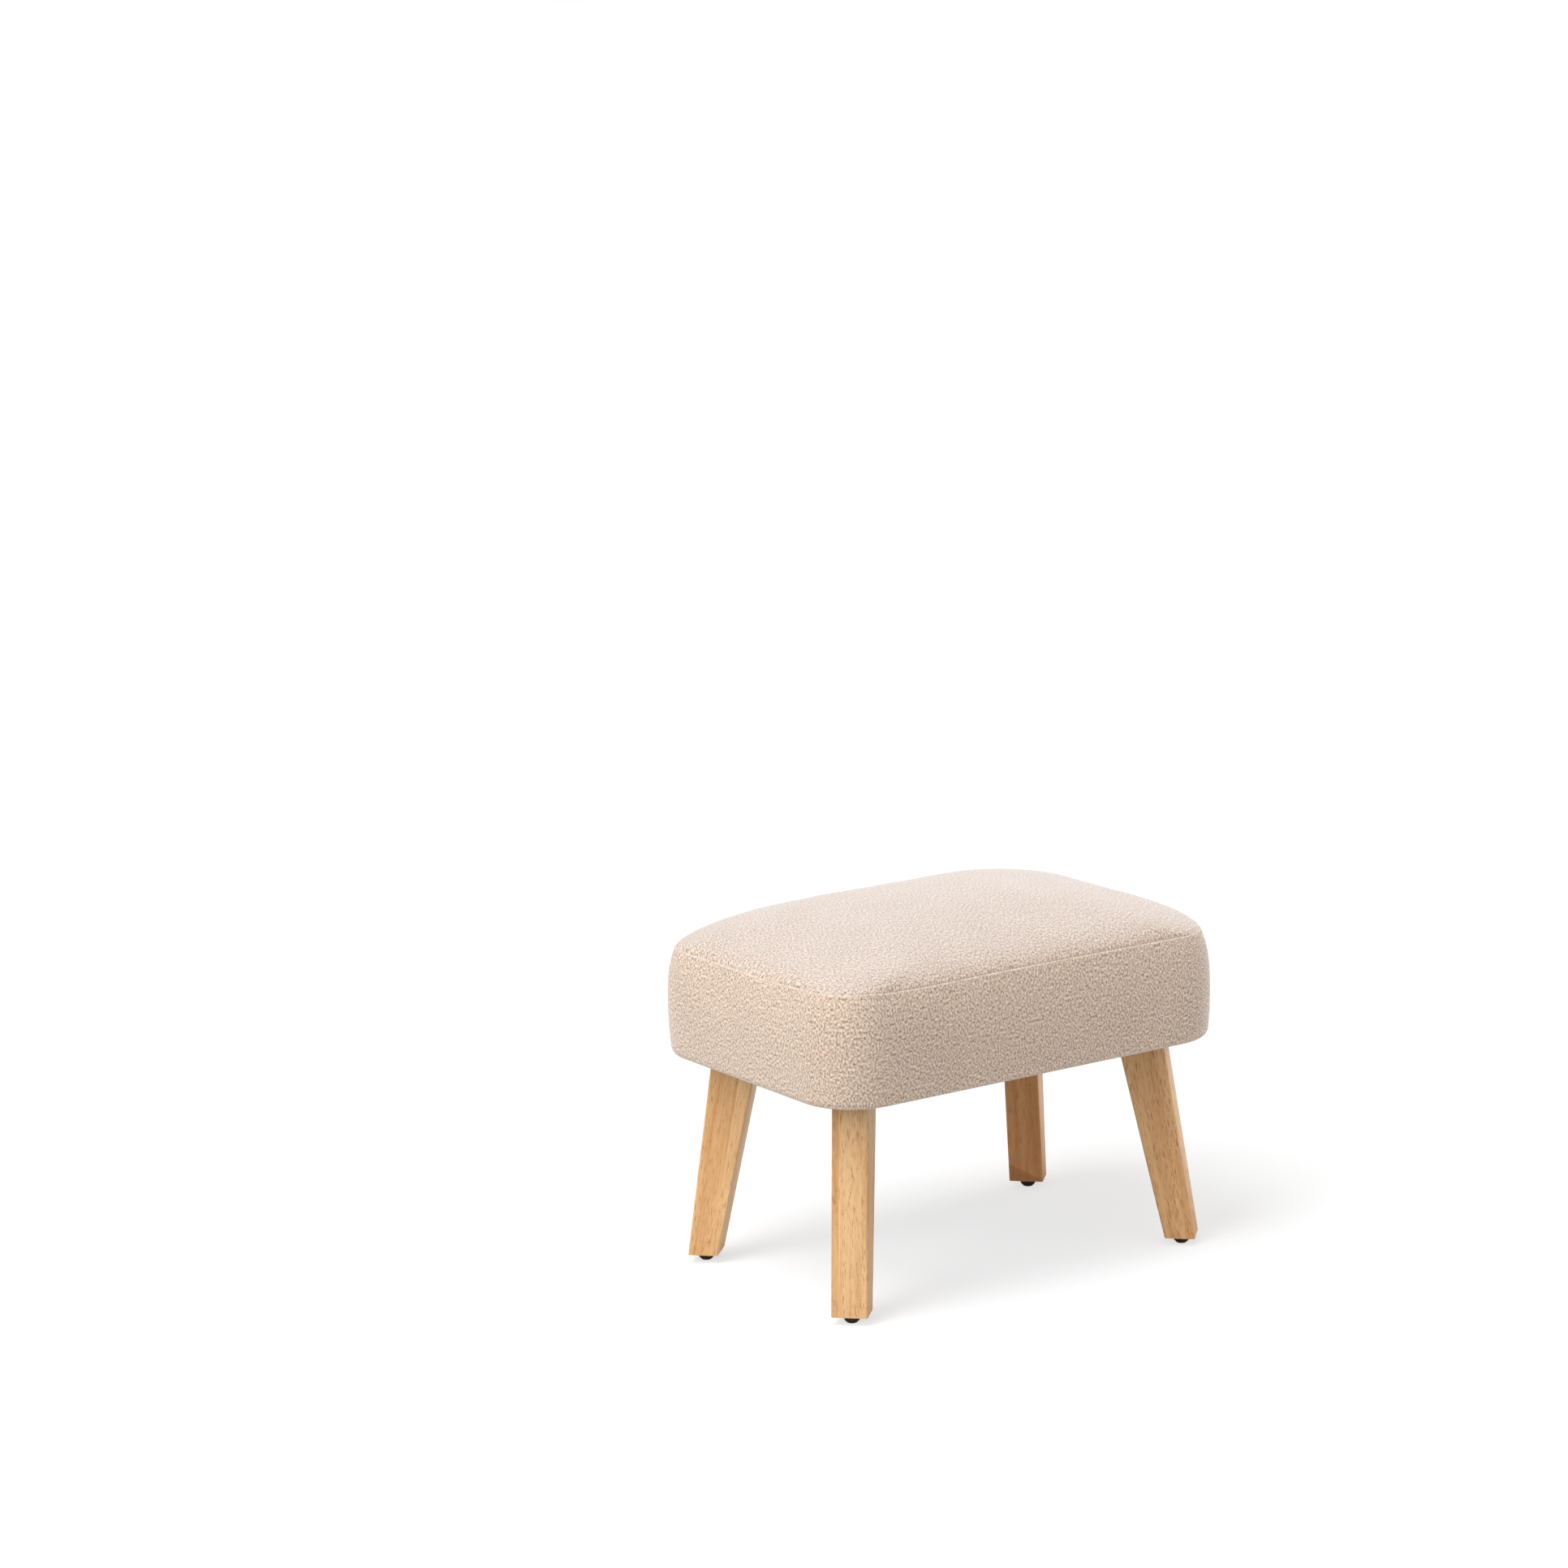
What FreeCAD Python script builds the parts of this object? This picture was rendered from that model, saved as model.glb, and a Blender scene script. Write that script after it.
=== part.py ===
import FreeCAD
import Part
import Sketcher
import os

# Upholstered footstool on four splayed legs, in millimetres.
# Origin on the floor under the middle of the stool, +X along its long side, +Y to its rear, +Z up.

# Driving dimensions. Each one is a cell of the sheet, under the same name.
SIZES = {
    # Upholstered body, measured over the cover
    "cover_length": 544.0,
    "cover_depth": 379.0,
    "cover_corner_radius": 70.0,
    "underside_height": 243.5,
    "band_height": 122.5,
    "belly_height": 52.0,
    "underside_inset": 5.0,
    "seam_inset": 10.5,
    "cover_roll_radius": 9.0,
    "crown_height": 55.5,
    "fabric_thickness": 1.5,
    "hem_width": 15.0,
    "wadding_thickness": 8.0,
    "soft_clearance": 0.3,
    # Box frame of two boards and five rails
    "frame_length": 515.0,
    "frame_depth": 350.0,
    "frame_corner_radius": 55.0,
    "base_board_thickness": 15.0,
    "deck_thickness": 12.0,
    "rail_height": 45.0,
    "rail_thickness": 18.0,
    "corner_block_reach": 66.0,
    "dowel_radius": 4.0,
    "dowel_length": 36.0,
    # Screws through the deck and the base board, heads sunk flush
    "frame_screw_radius": 2.0,
    "frame_screw_head_radius": 4.0,
    "frame_screw_head_height": 2.5,
    "frame_screw_length": 30.0,
    "block_screw_inset": 29.0,
    # Legs, each in the upright plane of its corner's diagonal
    "foot_spacing_long": 457.0,
    "foot_spacing_short": 287.0,
    "leg_thickness": 40.0,
    "leg_foot_depth": 34.2,
    "leg_top_depth": 52.6,
    "leg_rake": 43.4,
    "leg_edge_radius": 2.2,
    # Steel plate on each leg, its bolts, tee nuts and leg screws
    "plate_length": 58.0,
    "plate_width": 70.0,
    "plate_thickness": 3.0,
    "plate_corner_cut": 7.0,
    "bolt_spacing": 54.0,
    "bolt_radius": 3.0,
    "bolt_head_radius": 5.6,
    "bolt_head_height": 3.2,
    "tee_nut_flange_radius": 8.6,
    "tee_nut_flange_thickness": 1.2,
    "tee_nut_barrel_radius": 3.9,
    "tee_nut_barrel_length": 9.0,
    "leg_screw_radius": 2.5,
    "leg_screw_head_radius": 4.6,
    "leg_screw_head_height": 2.2,
    "leg_screw_length": 45.0,
    "leg_screw_spacing": 28.0,
    # Nail-on glides
    "glide_height": 9.5,
    "glide_radius": 9.2,
    "glide_bevel": 3.6,
    "glide_shoulder_bevel": 1.4,
    "nail_radius": 1.1,
    "nail_head_radius": 4.0,
    "nail_head_thickness": 1.0,
    "nail_head_height": 3.5,
    "nail_grip": 18.0,
    # Dust cover and staples
    "dust_cover_thickness": 0.8,
    "dust_cover_inset": 5.0,
    "plate_cut_clearance": 1.5,
    "staple_crown": 11.0,
    "staple_wire_width": 1.2,
    "staple_wire_thickness": 0.6,
    "staple_grip": 5.0,
    "cover_staple_inset": 12.5,
    "cover_staple_pitch_long": 96.0,
    "cover_staple_pitch_short": 112.0,
    "dust_staple_inset": 8.0,
    "dust_staple_pitch_long": 90.0,
    "dust_staple_pitch_short": 104.0,
}

# Plain numbers that are no lengths: powers and shares of the crown's formula, and counts.
RISE_SHARES = (0, 0.22, 0.38, 0.51, 0.62, 0.71, 0.79, 0.85, 0.9, 0.935, 0.965, 0.985, 1)
FOAM_RISE_SHARES = RISE_SHARES[:5]
TOP_SECTION_SHARE = 0.96
CROWN_RISE_POWER = 1.8
CROWN_LONG_POWER = 1.9
CROWN_SHORT_POWER = 1.7
CROWN_ROUNDING_SHARE = 0.85
HALF = 0.5
DIAGONAL_SHARE = HALF ** HALF
SQUARE_TURN = 90
CORNER_TURN = SQUARE_TURN * HALF
ROLL_SHARES = (0, 0.13, 0.5, 1)
FULL_TURN = 4 * SQUARE_TURN
CORNER_CHORDS = 4
GLIDE_SIDES = 20
FASTENER_SIDES = 6
COVER_STAPLES_LONG = 4
COVER_STAPLES_SHORT = 2
DUST_STAPLES_LONG = 4
DUST_STAPLES_SHORT = 2

# Corner name to the side it is on, along X and along Y.
CORNERS = {
    "front_left": (-1, -1),
    "front_right": (1, -1),
    "rear_left": (-1, 1),
    "rear_right": (1, 1),
}

Vector = FreeCAD.Vector
UP = Vector(0, 0, 1)

doc = FreeCAD.newDocument("Footstool")
sheet = doc.addObject("Spreadsheet::Sheet", "Sizes")
for row, (name, value) in enumerate(SIZES.items(), start=1):
    sheet.set(f"A{row}", name)
    sheet.set(f"B{row}", str(value))
    sheet.setAlias(f"B{row}", name)
doc.recompute()


class Size:
    """A length with its value and the sheet expression that gives it."""

    def __init__(self, value, text):
        self.value = value
        self.text = text

    def combined(self, other, sign, result, swapped=False):
        other_text = other.text if isinstance(other, Size) else repr(other)
        pair = (other_text, self.text) if swapped else (self.text, other_text)
        return Size(result, f"({pair[0]} {sign} {pair[1]})")

    def __add__(self, other):
        return self.combined(other, "+", self.value + plain(other))

    def __sub__(self, other):
        return self.combined(other, "-", self.value - plain(other))

    def __rsub__(self, other):
        return self.combined(other, "-", other - self.value, swapped=True)

    def __mul__(self, other):
        return self.combined(other, "*", self.value * plain(other))

    def __truediv__(self, other):
        return self.combined(other, "/", self.value / plain(other))

    def __neg__(self):
        return Size(-self.value, f"(-{self.text})")

    __radd__ = __add__
    __rmul__ = __mul__


def plain(item):
    return item.value if isinstance(item, Size) else item


def size(name):
    return Size(SIZES[name], f"Sizes.{name}")


def bind(obj, prop, length):
    """Ties a property to the sheet through its expression."""
    obj.setExpression(prop, length.text)


# Sizes and levels that several sub-parts share
half_length = size("cover_length") * HALF
half_depth = size("cover_depth") * HALF
fabric = size("fabric_thickness")
clearance = size("soft_clearance")
underside = size("underside_height")
band = size("band_height")
belly = size("belly_height")
seam_level = underside + band
board_bottom = underside + fabric
board_top = board_bottom + size("base_board_thickness")
deck_bottom = board_top + size("rail_height")
deck_top = deck_bottom + size("deck_thickness")
leg_top = board_bottom - size("plate_thickness")
frame_half_length = size("frame_length") * HALF
frame_half_depth = size("frame_depth") * HALF
rail_thickness = size("rail_thickness")
block_reach = size("corner_block_reach")
foot_half_long = size("foot_spacing_long") * HALF
foot_half_short = size("foot_spacing_short") * HALF
rake = size("leg_rake")
wadding_offset = fabric + clearance
foam_offset = wadding_offset + size("wadding_thickness") + clearance
side_heights = [belly, (belly + band) * HALF, band]
foam_heights = [deck_top - underside, band]
staple_wire = size("staple_wire_thickness")
dust_top = underside - staple_wire
dust_bottom = dust_top - size("dust_cover_thickness")


# Building blocks: bodies, sketches and features


def new_body(label):
    body = doc.addObject("PartDesign::Body", label)
    body.Label = label
    return body


def new_sketch(body, tag, level, plane="XY_Plane", at=(0, 0), turn=0):
    """An empty sketch on a plane of the body's origin, moved along its normal to a level."""
    sketch = body.newObject("Sketcher::SketchObject", f"{body.Name}_{tag}")
    support = next(f for f in body.Origin.OriginFeatures if f.Role == plane)
    sketch.AttachmentSupport = [(support, "")]
    sketch.MapMode = "FlatFace"
    place = Vector(plain(at[0]), plain(at[1]), plain(level))
    sketch.AttachmentOffset = FreeCAD.Placement(place, FreeCAD.Rotation(UP, turn))
    for axis, item in zip("xyz", (*at, level)):
        if isinstance(item, Size):
            bind(sketch, f"AttachmentOffset.Base.{axis}", item)
    return sketch


def constrain(sketch, kind, *items):
    """A dimension whose last item is a Size, tied to the sheet."""
    length = items[-1]
    index = sketch.addConstraint(Sketcher.Constraint(kind, *items[:-1], float(plain(length))))
    if isinstance(length, Size):
        name = f"{kind}{index}"
        sketch.renameConstraint(index, name)
        bind(sketch, f"Constraints.{name}", length)


def fix_point(sketch, geometry, point, x, y):
    constrain(sketch, "DistanceX", -1, 1, geometry, point, x)
    constrain(sketch, "DistanceY", -1, 1, geometry, point, y)


def draw_outline(sketch, corners):
    """A closed outline of straight lines through corners placed from the sketch's origin."""
    points = [Vector(plain(x), plain(y), 0) for x, y in corners]
    edges = [Part.LineSegment(start, end) for start, end in zip(points, points[1:] + points[:1])]
    lines = sketch.addGeometry(edges, False)
    placed, limits = {}, []
    for line, following, (x, y) in zip(lines, lines[1:] + lines[:1], corners):
        limits.append(Sketcher.Constraint("Coincident", line, 2, following, 1))
        for kind, length in (("DistanceX", x), ("DistanceY", y)):
            limit = Sketcher.Constraint(kind, -1, 1, line, 1, float(plain(length)))
            if isinstance(length, Size):
                limit.Name = f"{kind}{line}"
                placed[limit.Name] = length
            limits.append(limit)
    sketch.addConstraint(limits)
    for name, length in placed.items():
        bind(sketch, f"Constraints.{name}", length)
    return lines


def way_at(angle):
    """The shares of a radius along X and Y at an angle in degrees."""
    way = FreeCAD.Rotation(UP, angle).multVec(Vector(1, 0, 0))
    return round(way.x, 9), round(way.y, 9)


def draw_polygon(sketch, sides, radius):
    """A regular outline about the sketch's origin, with corners at a radius."""
    corners = []
    for number in range(sides):
        x, y = way_at((number + HALF * HALF) * FULL_TURN / sides)
        corners.append((radius * x, radius * y))
    draw_outline(sketch, corners)


def draw_cut_rectangle(sketch, half_x, half_y, cut):
    """A rectangle with its four corners cut off."""
    near_x, near_y = half_x - cut, half_y - cut
    corners = [(half_x, near_y), (near_x, half_y), (-near_x, half_y), (-half_x, near_y)]
    draw_outline(sketch, corners + [(-x, -y) for x, y in corners])


def draw_soft_rectangle(sketch, half_x, half_y, radius):
    """A rounded rectangle whose corners turn in short straight steps."""
    corners = []
    for turn, (side_x, side_y) in enumerate(((1, 1), (-1, 1), (-1, -1), (1, -1))):
        for step in range(CORNER_CHORDS + 1):
            x, y = way_at((turn + step / CORNER_CHORDS) * SQUARE_TURN)
            corner_x = side_x * (half_x - radius) + radius * x
            corners.append((corner_x, side_y * (half_y - radius) + radius * y))
    draw_outline(sketch, corners)


def draw_rounded_rectangle(sketch, half_x, half_y, radius):
    """Four arcs about fixed centres, joined by four tangent lines."""
    centre_x, centre_y = half_x - radius, half_y - radius
    arcs = []
    for turn, (side_x, side_y) in enumerate(((1, -1), (1, 1), (-1, 1), (-1, -1)), start=-1):
        centre = Vector(side_x * plain(centre_x), side_y * plain(centre_y), 0)
        start = FreeCAD.Units.Quantity(f"{turn * SQUARE_TURN} deg").getValueAs("rad").Value
        quarter = FreeCAD.Units.Quantity(f"{SQUARE_TURN} deg").getValueAs("rad").Value
        arc = Part.ArcOfCircle(Part.Circle(centre, UP, radius.value), start, start + quarter)
        geometry = sketch.addGeometry(arc, False)
        fix_point(sketch, geometry, 3, side_x * centre_x, side_y * centre_y)
        constrain(sketch, "Radius", geometry, radius)
        arcs.append((geometry, arc))
    for (geometry, arc), (following, next_arc) in zip(arcs, arcs[1:] + arcs[:1]):
        line = sketch.addGeometry(Part.LineSegment(arc.EndPoint, next_arc.StartPoint), False)
        sketch.addConstraint(Sketcher.Constraint("Tangent", geometry, 2, line, 1))
        sketch.addConstraint(Sketcher.Constraint("Tangent", line, 2, following, 1))


def extrude(body, kind, sketch, length, reversed_way=False, midplane=False):
    """A Pad or a Pocket of a sketch, tied to its length."""
    feature = body.newObject(f"PartDesign::{kind}", f"{sketch.Name}_{kind}")
    feature.Profile = sketch
    feature.Length = length.value
    bind(feature, "Length", length)
    feature.Reversed = reversed_way
    feature.Midplane = midplane
    return feature


def loft(body, kind, sections):
    """Straight bands from section to section, which keep the soft forms light."""
    feature = body.newObject(f"PartDesign::{kind}", f"{sections[0].Name}_{kind}")
    feature.Profile = sections[0]
    feature.Sections = sections[1:]
    feature.Ruled = True
    return feature


def edge_names(body, wanted):
    """The names of a body's edges that the given test accepts."""
    doc.recompute()
    edges = enumerate(body.Shape.Edges, start=1)
    return [f"Edge{number}" for number, edge in edges if wanted(edge.BoundBox)]


def round_edges(body, kind, wanted, length):
    """A Fillet or a Chamfer along chosen edges, tied to its size."""
    base = body.Tip
    names = edge_names(body, wanted)
    feature = body.newObject(f"PartDesign::{kind}", f"{body.Name}_{kind}")
    feature.Base = (base, names)
    prop = "Radius" if kind == "Fillet" else "Size"
    setattr(feature, prop, length.value)
    bind(feature, prop, length)
    return feature


def place(body, x, y, z, turn=0):
    """Sets a body down, turned about the vertical, its place tied to the sheet."""
    spot = Vector(plain(x), plain(y), plain(z))
    body.Placement = FreeCAD.Placement(spot, FreeCAD.Rotation(UP, turn))
    for axis, item in zip("xyz", (x, y, z)):
        if isinstance(item, Size):
            bind(body, f"Placement.Base.{axis}", item)


def drilled(label, base, *tools):
    """A piece with the room cut out of it that the pieces driven into it take."""
    for number, tool in enumerate(tools, start=1):
        cut = doc.addObject("Part::Cut", label if number == len(tools) else f"{label}_cut{number}")
        cut.Base = base
        cut.Tool = tool
        base = cut
    base.Label = label
    return base


def stepped_body(label, steps):
    """A fastener of flat-sided lengths on one upright axis: sides, radius, start and length."""
    body = new_body(label)
    for number, (sides, radius, start, length) in enumerate(steps):
        section = new_sketch(body, f"section{number}", start)
        draw_polygon(section, sides, radius)
        extrude(body, "Pad", section, length)
    return body


def copies(label, original, spots):
    """One node of identical pieces: a linked copy of the original at each spot."""
    links = []
    for number, (x, y, z, rotation) in enumerate(spots, start=1):
        link = doc.addObject("App::Link", f"{label}_{number}")
        link.LinkedObject = original
        link.Placement = FreeCAD.Placement(Vector(plain(x), plain(y), plain(z)), rotation)
        for axis, item in zip("xyz", (x, y, z)):
            if isinstance(item, Size):
                bind(link, f"Placement.Base.{axis}", item)
        links.append(link)
    group = doc.addObject("Part::Compound", label)
    group.Label = label
    group.Links = links
    return group


# Soft forms of the upholstery


def side_inset(height):
    """How far the cover's side stands in from its widest line, at a height over the underside."""
    if height.value < belly.value:
        way = (belly - height) / belly
        return size("underside_inset") * (way * way)
    way = (height - belly) / (band - belly)
    return size("seam_inset") * (way * way)


def side_sections(body, heights, offset):
    """Outlines of the upholstered side, drawn in by an offset, at heights over the underside."""
    sections = []
    for number, height in enumerate(heights):
        inset = side_inset(height) + offset
        sketch = new_sketch(body, f"side{number}", underside + height)
        radius = size("cover_corner_radius") - inset
        draw_soft_rectangle(sketch, half_length - inset, half_depth - inset, radius)
        sections.append(sketch)
    return sections


def crown_sections(body, offset, shares, tag="crown"):
    """Outlines of the crowned top at shares of its rise, on a curve of fixed powers."""
    inset = size("seam_inset") + offset
    seam_radius = size("cover_corner_radius") - inset
    rise = size("crown_height") - offset
    sections = []
    for number, share in enumerate(shares):
        left = 1 - (share * TOP_SECTION_SHARE) ** CROWN_RISE_POWER
        reach_long = left ** (1 / CROWN_LONG_POWER)
        reach_short = left ** (1 / CROWN_SHORT_POWER)
        half_y = (half_depth - inset) * reach_short
        scaled_radius = seam_radius * reach_short
        radius = scaled_radius + (half_y - scaled_radius) * (CROWN_ROUNDING_SHARE * share)
        sketch = new_sketch(body, f"{tag}{number}", seam_level + rise * share)
        half_x = (half_length - inset) * reach_long
        draw_soft_rectangle(sketch, half_x, half_y, radius)
        sections.append(sketch)
    return sections


def roll_sections(body, offset):
    """Outlines up the quarter round that rolls the cover's lower edge under."""
    radius = size("cover_roll_radius") - offset
    inset = side_inset(size("cover_roll_radius")) + offset
    sections = []
    for number, share in enumerate(ROLL_SHARES):
        drawn_in = inset + radius * (1 - (1 - (1 - share) ** 2) ** HALF)
        sketch = new_sketch(body, f"roll{number}", underside + offset + radius * share)
        corner = size("cover_corner_radius") - drawn_in
        half_x, half_y = half_length - drawn_in, half_depth - drawn_in
        draw_soft_rectangle(sketch, half_x, half_y, corner)
        sections.append(sketch)
    return sections


def side_solid(label, offset):
    """The upholstered side as a full block, its lower edge rolled under."""
    body = new_body(label)
    rising = side_sections(body, side_heights, offset)
    loft(body, "AdditiveLoft", roll_sections(body, offset) + rising)
    return body


def make_side_band(staples):
    outer = side_solid("side_band_outer", fabric * 0)
    inner = side_solid("side_band_inner", fabric)
    opening = new_sketch(inner, "opening", board_bottom)
    hem = size("hem_width")
    draw_soft_rectangle(
        opening,
        frame_half_length - hem,
        frame_half_depth - hem,
        size("frame_corner_radius") - hem,
    )
    extrude(inner, "Pad", opening, fabric + fabric, reversed_way=True)
    return drilled("side_band", outer, inner, *staples)


def make_top_panel():
    body = new_body("top_panel")
    outer = crown_sections(body, fabric * 0, RISE_SHARES, "outer")
    loft(body, "AdditiveLoft", outer)
    inner = crown_sections(body, fabric, RISE_SHARES, "inner")
    loft(body, "SubtractiveLoft", inner)
    return body


def add_filling(body, heights, offset, shares):
    """A soft block up the cover's side and over its crown, drawn in by an offset."""
    side = side_sections(body, heights, offset)
    crown = crown_sections(body, offset, shares)
    loft(body, "AdditiveLoft", side[:-1] + crown)


def make_wadding():
    """The wrap over the frame and the foam, thickest over the foam's flat middle."""
    outer, inner = new_body("wadding_outer"), new_body("wadding_inner")
    heights = [size("cover_roll_radius"), *side_heights]
    add_filling(outer, heights, wadding_offset, RISE_SHARES)
    frame_space = new_sketch(inner, "frame", underside)
    draw_rounded_rectangle(
        frame_space,
        frame_half_length + clearance,
        frame_half_depth + clearance,
        size("frame_corner_radius") + clearance,
    )
    extrude(inner, "Pad", frame_space, deck_top - underside)
    add_filling(inner, foam_heights, foam_offset - clearance, FOAM_RISE_SHARES)
    return drilled("wadding", outer, inner)


def make_foam_pad():
    body = new_body("foam_pad")
    add_filling(body, foam_heights, foam_offset, FOAM_RISE_SHARES)
    return body


# Box frame


def frame_screw_places():
    """Screw centres in the corner blocks and in the middle of the front, centre and rear rail."""
    rail_y = frame_half_depth - rail_thickness * HALF
    block_x = frame_half_length - size("block_screw_inset")
    block_y = frame_half_depth - size("block_screw_inset")
    places = [(0, -rail_y), (0, 0), (0, rail_y)]
    return places + [(x * block_x, y * block_y) for x, y in CORNERS.values()]


def sunk_screw(label, radius, head, head_height, length):
    """A screw whose head is flush with the level of its origin, its end downward."""
    shank = (FASTENER_SIDES, radius, -length, length - head_height)
    return stepped_body(label, [shank, (FASTENER_SIDES, head, -head_height, head_height)])


def make_frame_screws():
    """The deck's screws, driven down, and the base board's, driven up."""
    screw = sunk_screw(
        "frame_screw",
        size("frame_screw_radius"),
        size("frame_screw_head_radius"),
        size("frame_screw_head_height"),
        size("frame_screw_length"),
    )
    down, up = FreeCAD.Rotation(), FreeCAD.Rotation(Vector(1, 0, 0), SQUARE_TURN + SQUARE_TURN)
    places = frame_screw_places()
    deck = copies("deck_screws", screw, [(x, y, deck_top, down) for x, y in places])
    base = copies("base_screws", screw, [(x, y, board_bottom, up) for x, y in places])
    return deck, base


def make_board(label, bottom, thickness):
    body = new_body(label)
    outline = new_sketch(body, "outline", bottom)
    corner = size("frame_corner_radius")
    draw_rounded_rectangle(outline, frame_half_length, frame_half_depth, corner)
    extrude(body, "Pad", outline, thickness)
    return body


def make_rail(label, half_span, centre_x, centre_y, along_x):
    """A straight rail, drawn as its end section and run both ways from its middle."""
    body = new_body(label)
    section = new_sketch(body, "section", 0, "YZ_Plane" if along_x else "XZ_Plane")
    half, height = rail_thickness * HALF, size("rail_height")
    draw_outline(section, [(-half, 0), (half, 0), (half, height), (-half, height)])
    extrude(body, "Pad", section, half_span + half_span, midplane=True)
    place(body, centre_x, centre_y, board_top)
    return body


def make_rails(fasteners):
    half = rail_thickness * HALF
    long_span = frame_half_length - block_reach
    short_span = frame_half_depth - block_reach
    y, x = frame_half_depth - half, frame_half_length - half
    rails = {
        "front_rail": (long_span, 0, -y, True),
        "rear_rail": (long_span, 0, y, True),
        "left_rail": (short_span, -x, 0, False),
        "right_rail": (short_span, x, 0, False),
        "centre_rail": (frame_half_depth - rail_thickness, 0, 0, False),
    }
    return [
        drilled(label, make_rail(f"{label}_blank", *sizes), *fasteners)
        for label, sizes in rails.items()
    ]


def make_corner_block(corner, fasteners):
    """A block rounded on its outer corner, drawn for the rear right and turned into place."""
    side_x, side_y = CORNERS[corner]
    body = new_body(f"corner_block_{corner}_blank")
    plan = new_sketch(body, "plan", 0)
    draw_outline(
        plan,
        [
            (-block_reach, 0),
            (-block_reach, -rail_thickness),
            (-rail_thickness, -block_reach),
            (0, -block_reach),
            (0, 0),
        ],
    )
    extrude(body, "Pad", plan, size("rail_height"))
    tiny = clearance.value
    outer_edge = lambda box: box.XMin > -tiny and box.YMin > -tiny
    round_edges(body, "Fillet", outer_edge, size("frame_corner_radius"))
    turn = corner_turn(corner) - CORNER_TURN
    place(body, side_x * frame_half_length, side_y * frame_half_depth, board_top, turn)
    return drilled(f"corner_block_{corner}", body, *fasteners)


def make_rail_dowels():
    """A dowel across each joint of a long or short rail with a corner block."""
    dowel = new_body("dowel")
    end = new_sketch(dowel, "end", 0, "YZ_Plane")
    draw_polygon(end, FASTENER_SIDES, size("dowel_radius"))
    extrude(dowel, "Pad", end, size("dowel_length"), midplane=True)
    middle_y = frame_half_depth - rail_thickness * HALF
    middle_x = frame_half_length - rail_thickness * HALF
    joint_x, joint_y = frame_half_length - block_reach, frame_half_depth - block_reach
    level = board_top + size("rail_height") * HALF
    straight, crossed = FreeCAD.Rotation(), FreeCAD.Rotation(UP, SQUARE_TURN)
    spots = []
    for side_x, side_y in CORNERS.values():
        spots.append((side_x * joint_x, side_y * middle_y, level, straight))
        spots.append((side_x * middle_x, side_y * joint_y, level, crossed))
    return copies("rail_dowels", dowel, spots)


# Legs, plates and their fasteners


def corner_point(corner, along, across):
    """A place in plan, outward along a corner's diagonal and across it from the foot's centre."""
    side_x, side_y = CORNERS[corner]
    out, over = along * DIAGONAL_SHARE, across * DIAGONAL_SHARE
    x = side_x * foot_half_long + side_x * out - side_y * over
    y = side_y * foot_half_short + side_y * out + side_x * over
    return x, y


def corner_turn(corner):
    """The turn that lays local +X along a corner's outward diagonal."""
    turns = {"rear_right": 0, "rear_left": 1, "front_left": 2, "front_right": 3}
    return CORNER_TURN + turns[corner] * SQUARE_TURN


def bolt_offsets():
    return [(rake * 0, side * size("bolt_spacing") * HALF) for side in (-1, 1)]


def leg_screw_offsets():
    return [(way * size("leg_screw_spacing") * HALF, rake * 0) for way in (-1, 1)]


def spots_on_plates(offsets, level):
    """Offsets from the middle of a leg plate, as places on all four plates."""
    spots = []
    for corner in CORNERS:
        for along, across in offsets:
            x, y = corner_point(corner, along - rake, across)
            spots.append((x, y, level, FreeCAD.Rotation()))
    return spots


def make_leg(corner, screws, nails):
    """A board cut to a tapering, raked outline, with softened edges and level ends."""
    body = new_body(f"leg_{corner}_blank")
    outline = new_sketch(body, "outline", 0, "XZ_Plane")
    foot, top = size("leg_foot_depth") * HALF, size("leg_top_depth") * HALF
    low = size("glide_height")
    draw_outline(
        outline,
        [(-foot, low), (foot, low), (top - rake, leg_top), (-top - rake, leg_top)],
    )
    extrude(body, "Pad", outline, size("leg_thickness"), midplane=True)
    long_edge = lambda box: box.ZLength > size("leg_thickness").value
    round_edges(body, "Fillet", long_edge, size("leg_edge_radius"))
    side_x, side_y = CORNERS[corner]
    place(body, side_x * foot_half_long, side_y * foot_half_short, 0, corner_turn(corner))
    return drilled(f"leg_{corner}", body, screws, nails)


def make_leg_plate(corner, screws, bolts):
    body = new_body(f"leg_plate_{corner}_blank")
    plan = new_sketch(body, "plan", 0)
    half_along, half_across = size("plate_length") * HALF, size("plate_width") * HALF
    draw_cut_rectangle(plan, half_along, half_across, size("plate_corner_cut"))
    extrude(body, "Pad", plan, size("plate_thickness"))
    x, y = corner_point(corner, -rake, rake * 0)
    place(body, x, y, leg_top, corner_turn(corner))
    return drilled(f"leg_plate_{corner}", body, screws, bolts)


def make_leg_screws():
    """Screws down through each plate, in line along its leg's diagonal."""
    screw = sunk_screw(
        "leg_screw",
        size("leg_screw_radius"),
        size("leg_screw_head_radius"),
        size("leg_screw_head_height"),
        size("leg_screw_length"),
    )
    return copies("leg_screws", screw, spots_on_plates(leg_screw_offsets(), board_bottom))


def make_plate_bolts():
    """Hexagon-head bolts up through the plates, their ends flush with the nuts."""
    height = size("bolt_head_height")
    length = board_top + size("tee_nut_flange_thickness") - leg_top
    head = FASTENER_SIDES, size("bolt_head_radius"), -height, height
    shank = FASTENER_SIDES, size("bolt_radius"), rake * 0, length
    bolt = stepped_body("plate_bolt", [head, shank])
    return copies("plate_bolts", bolt, spots_on_plates(bolt_offsets(), leg_top))


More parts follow.
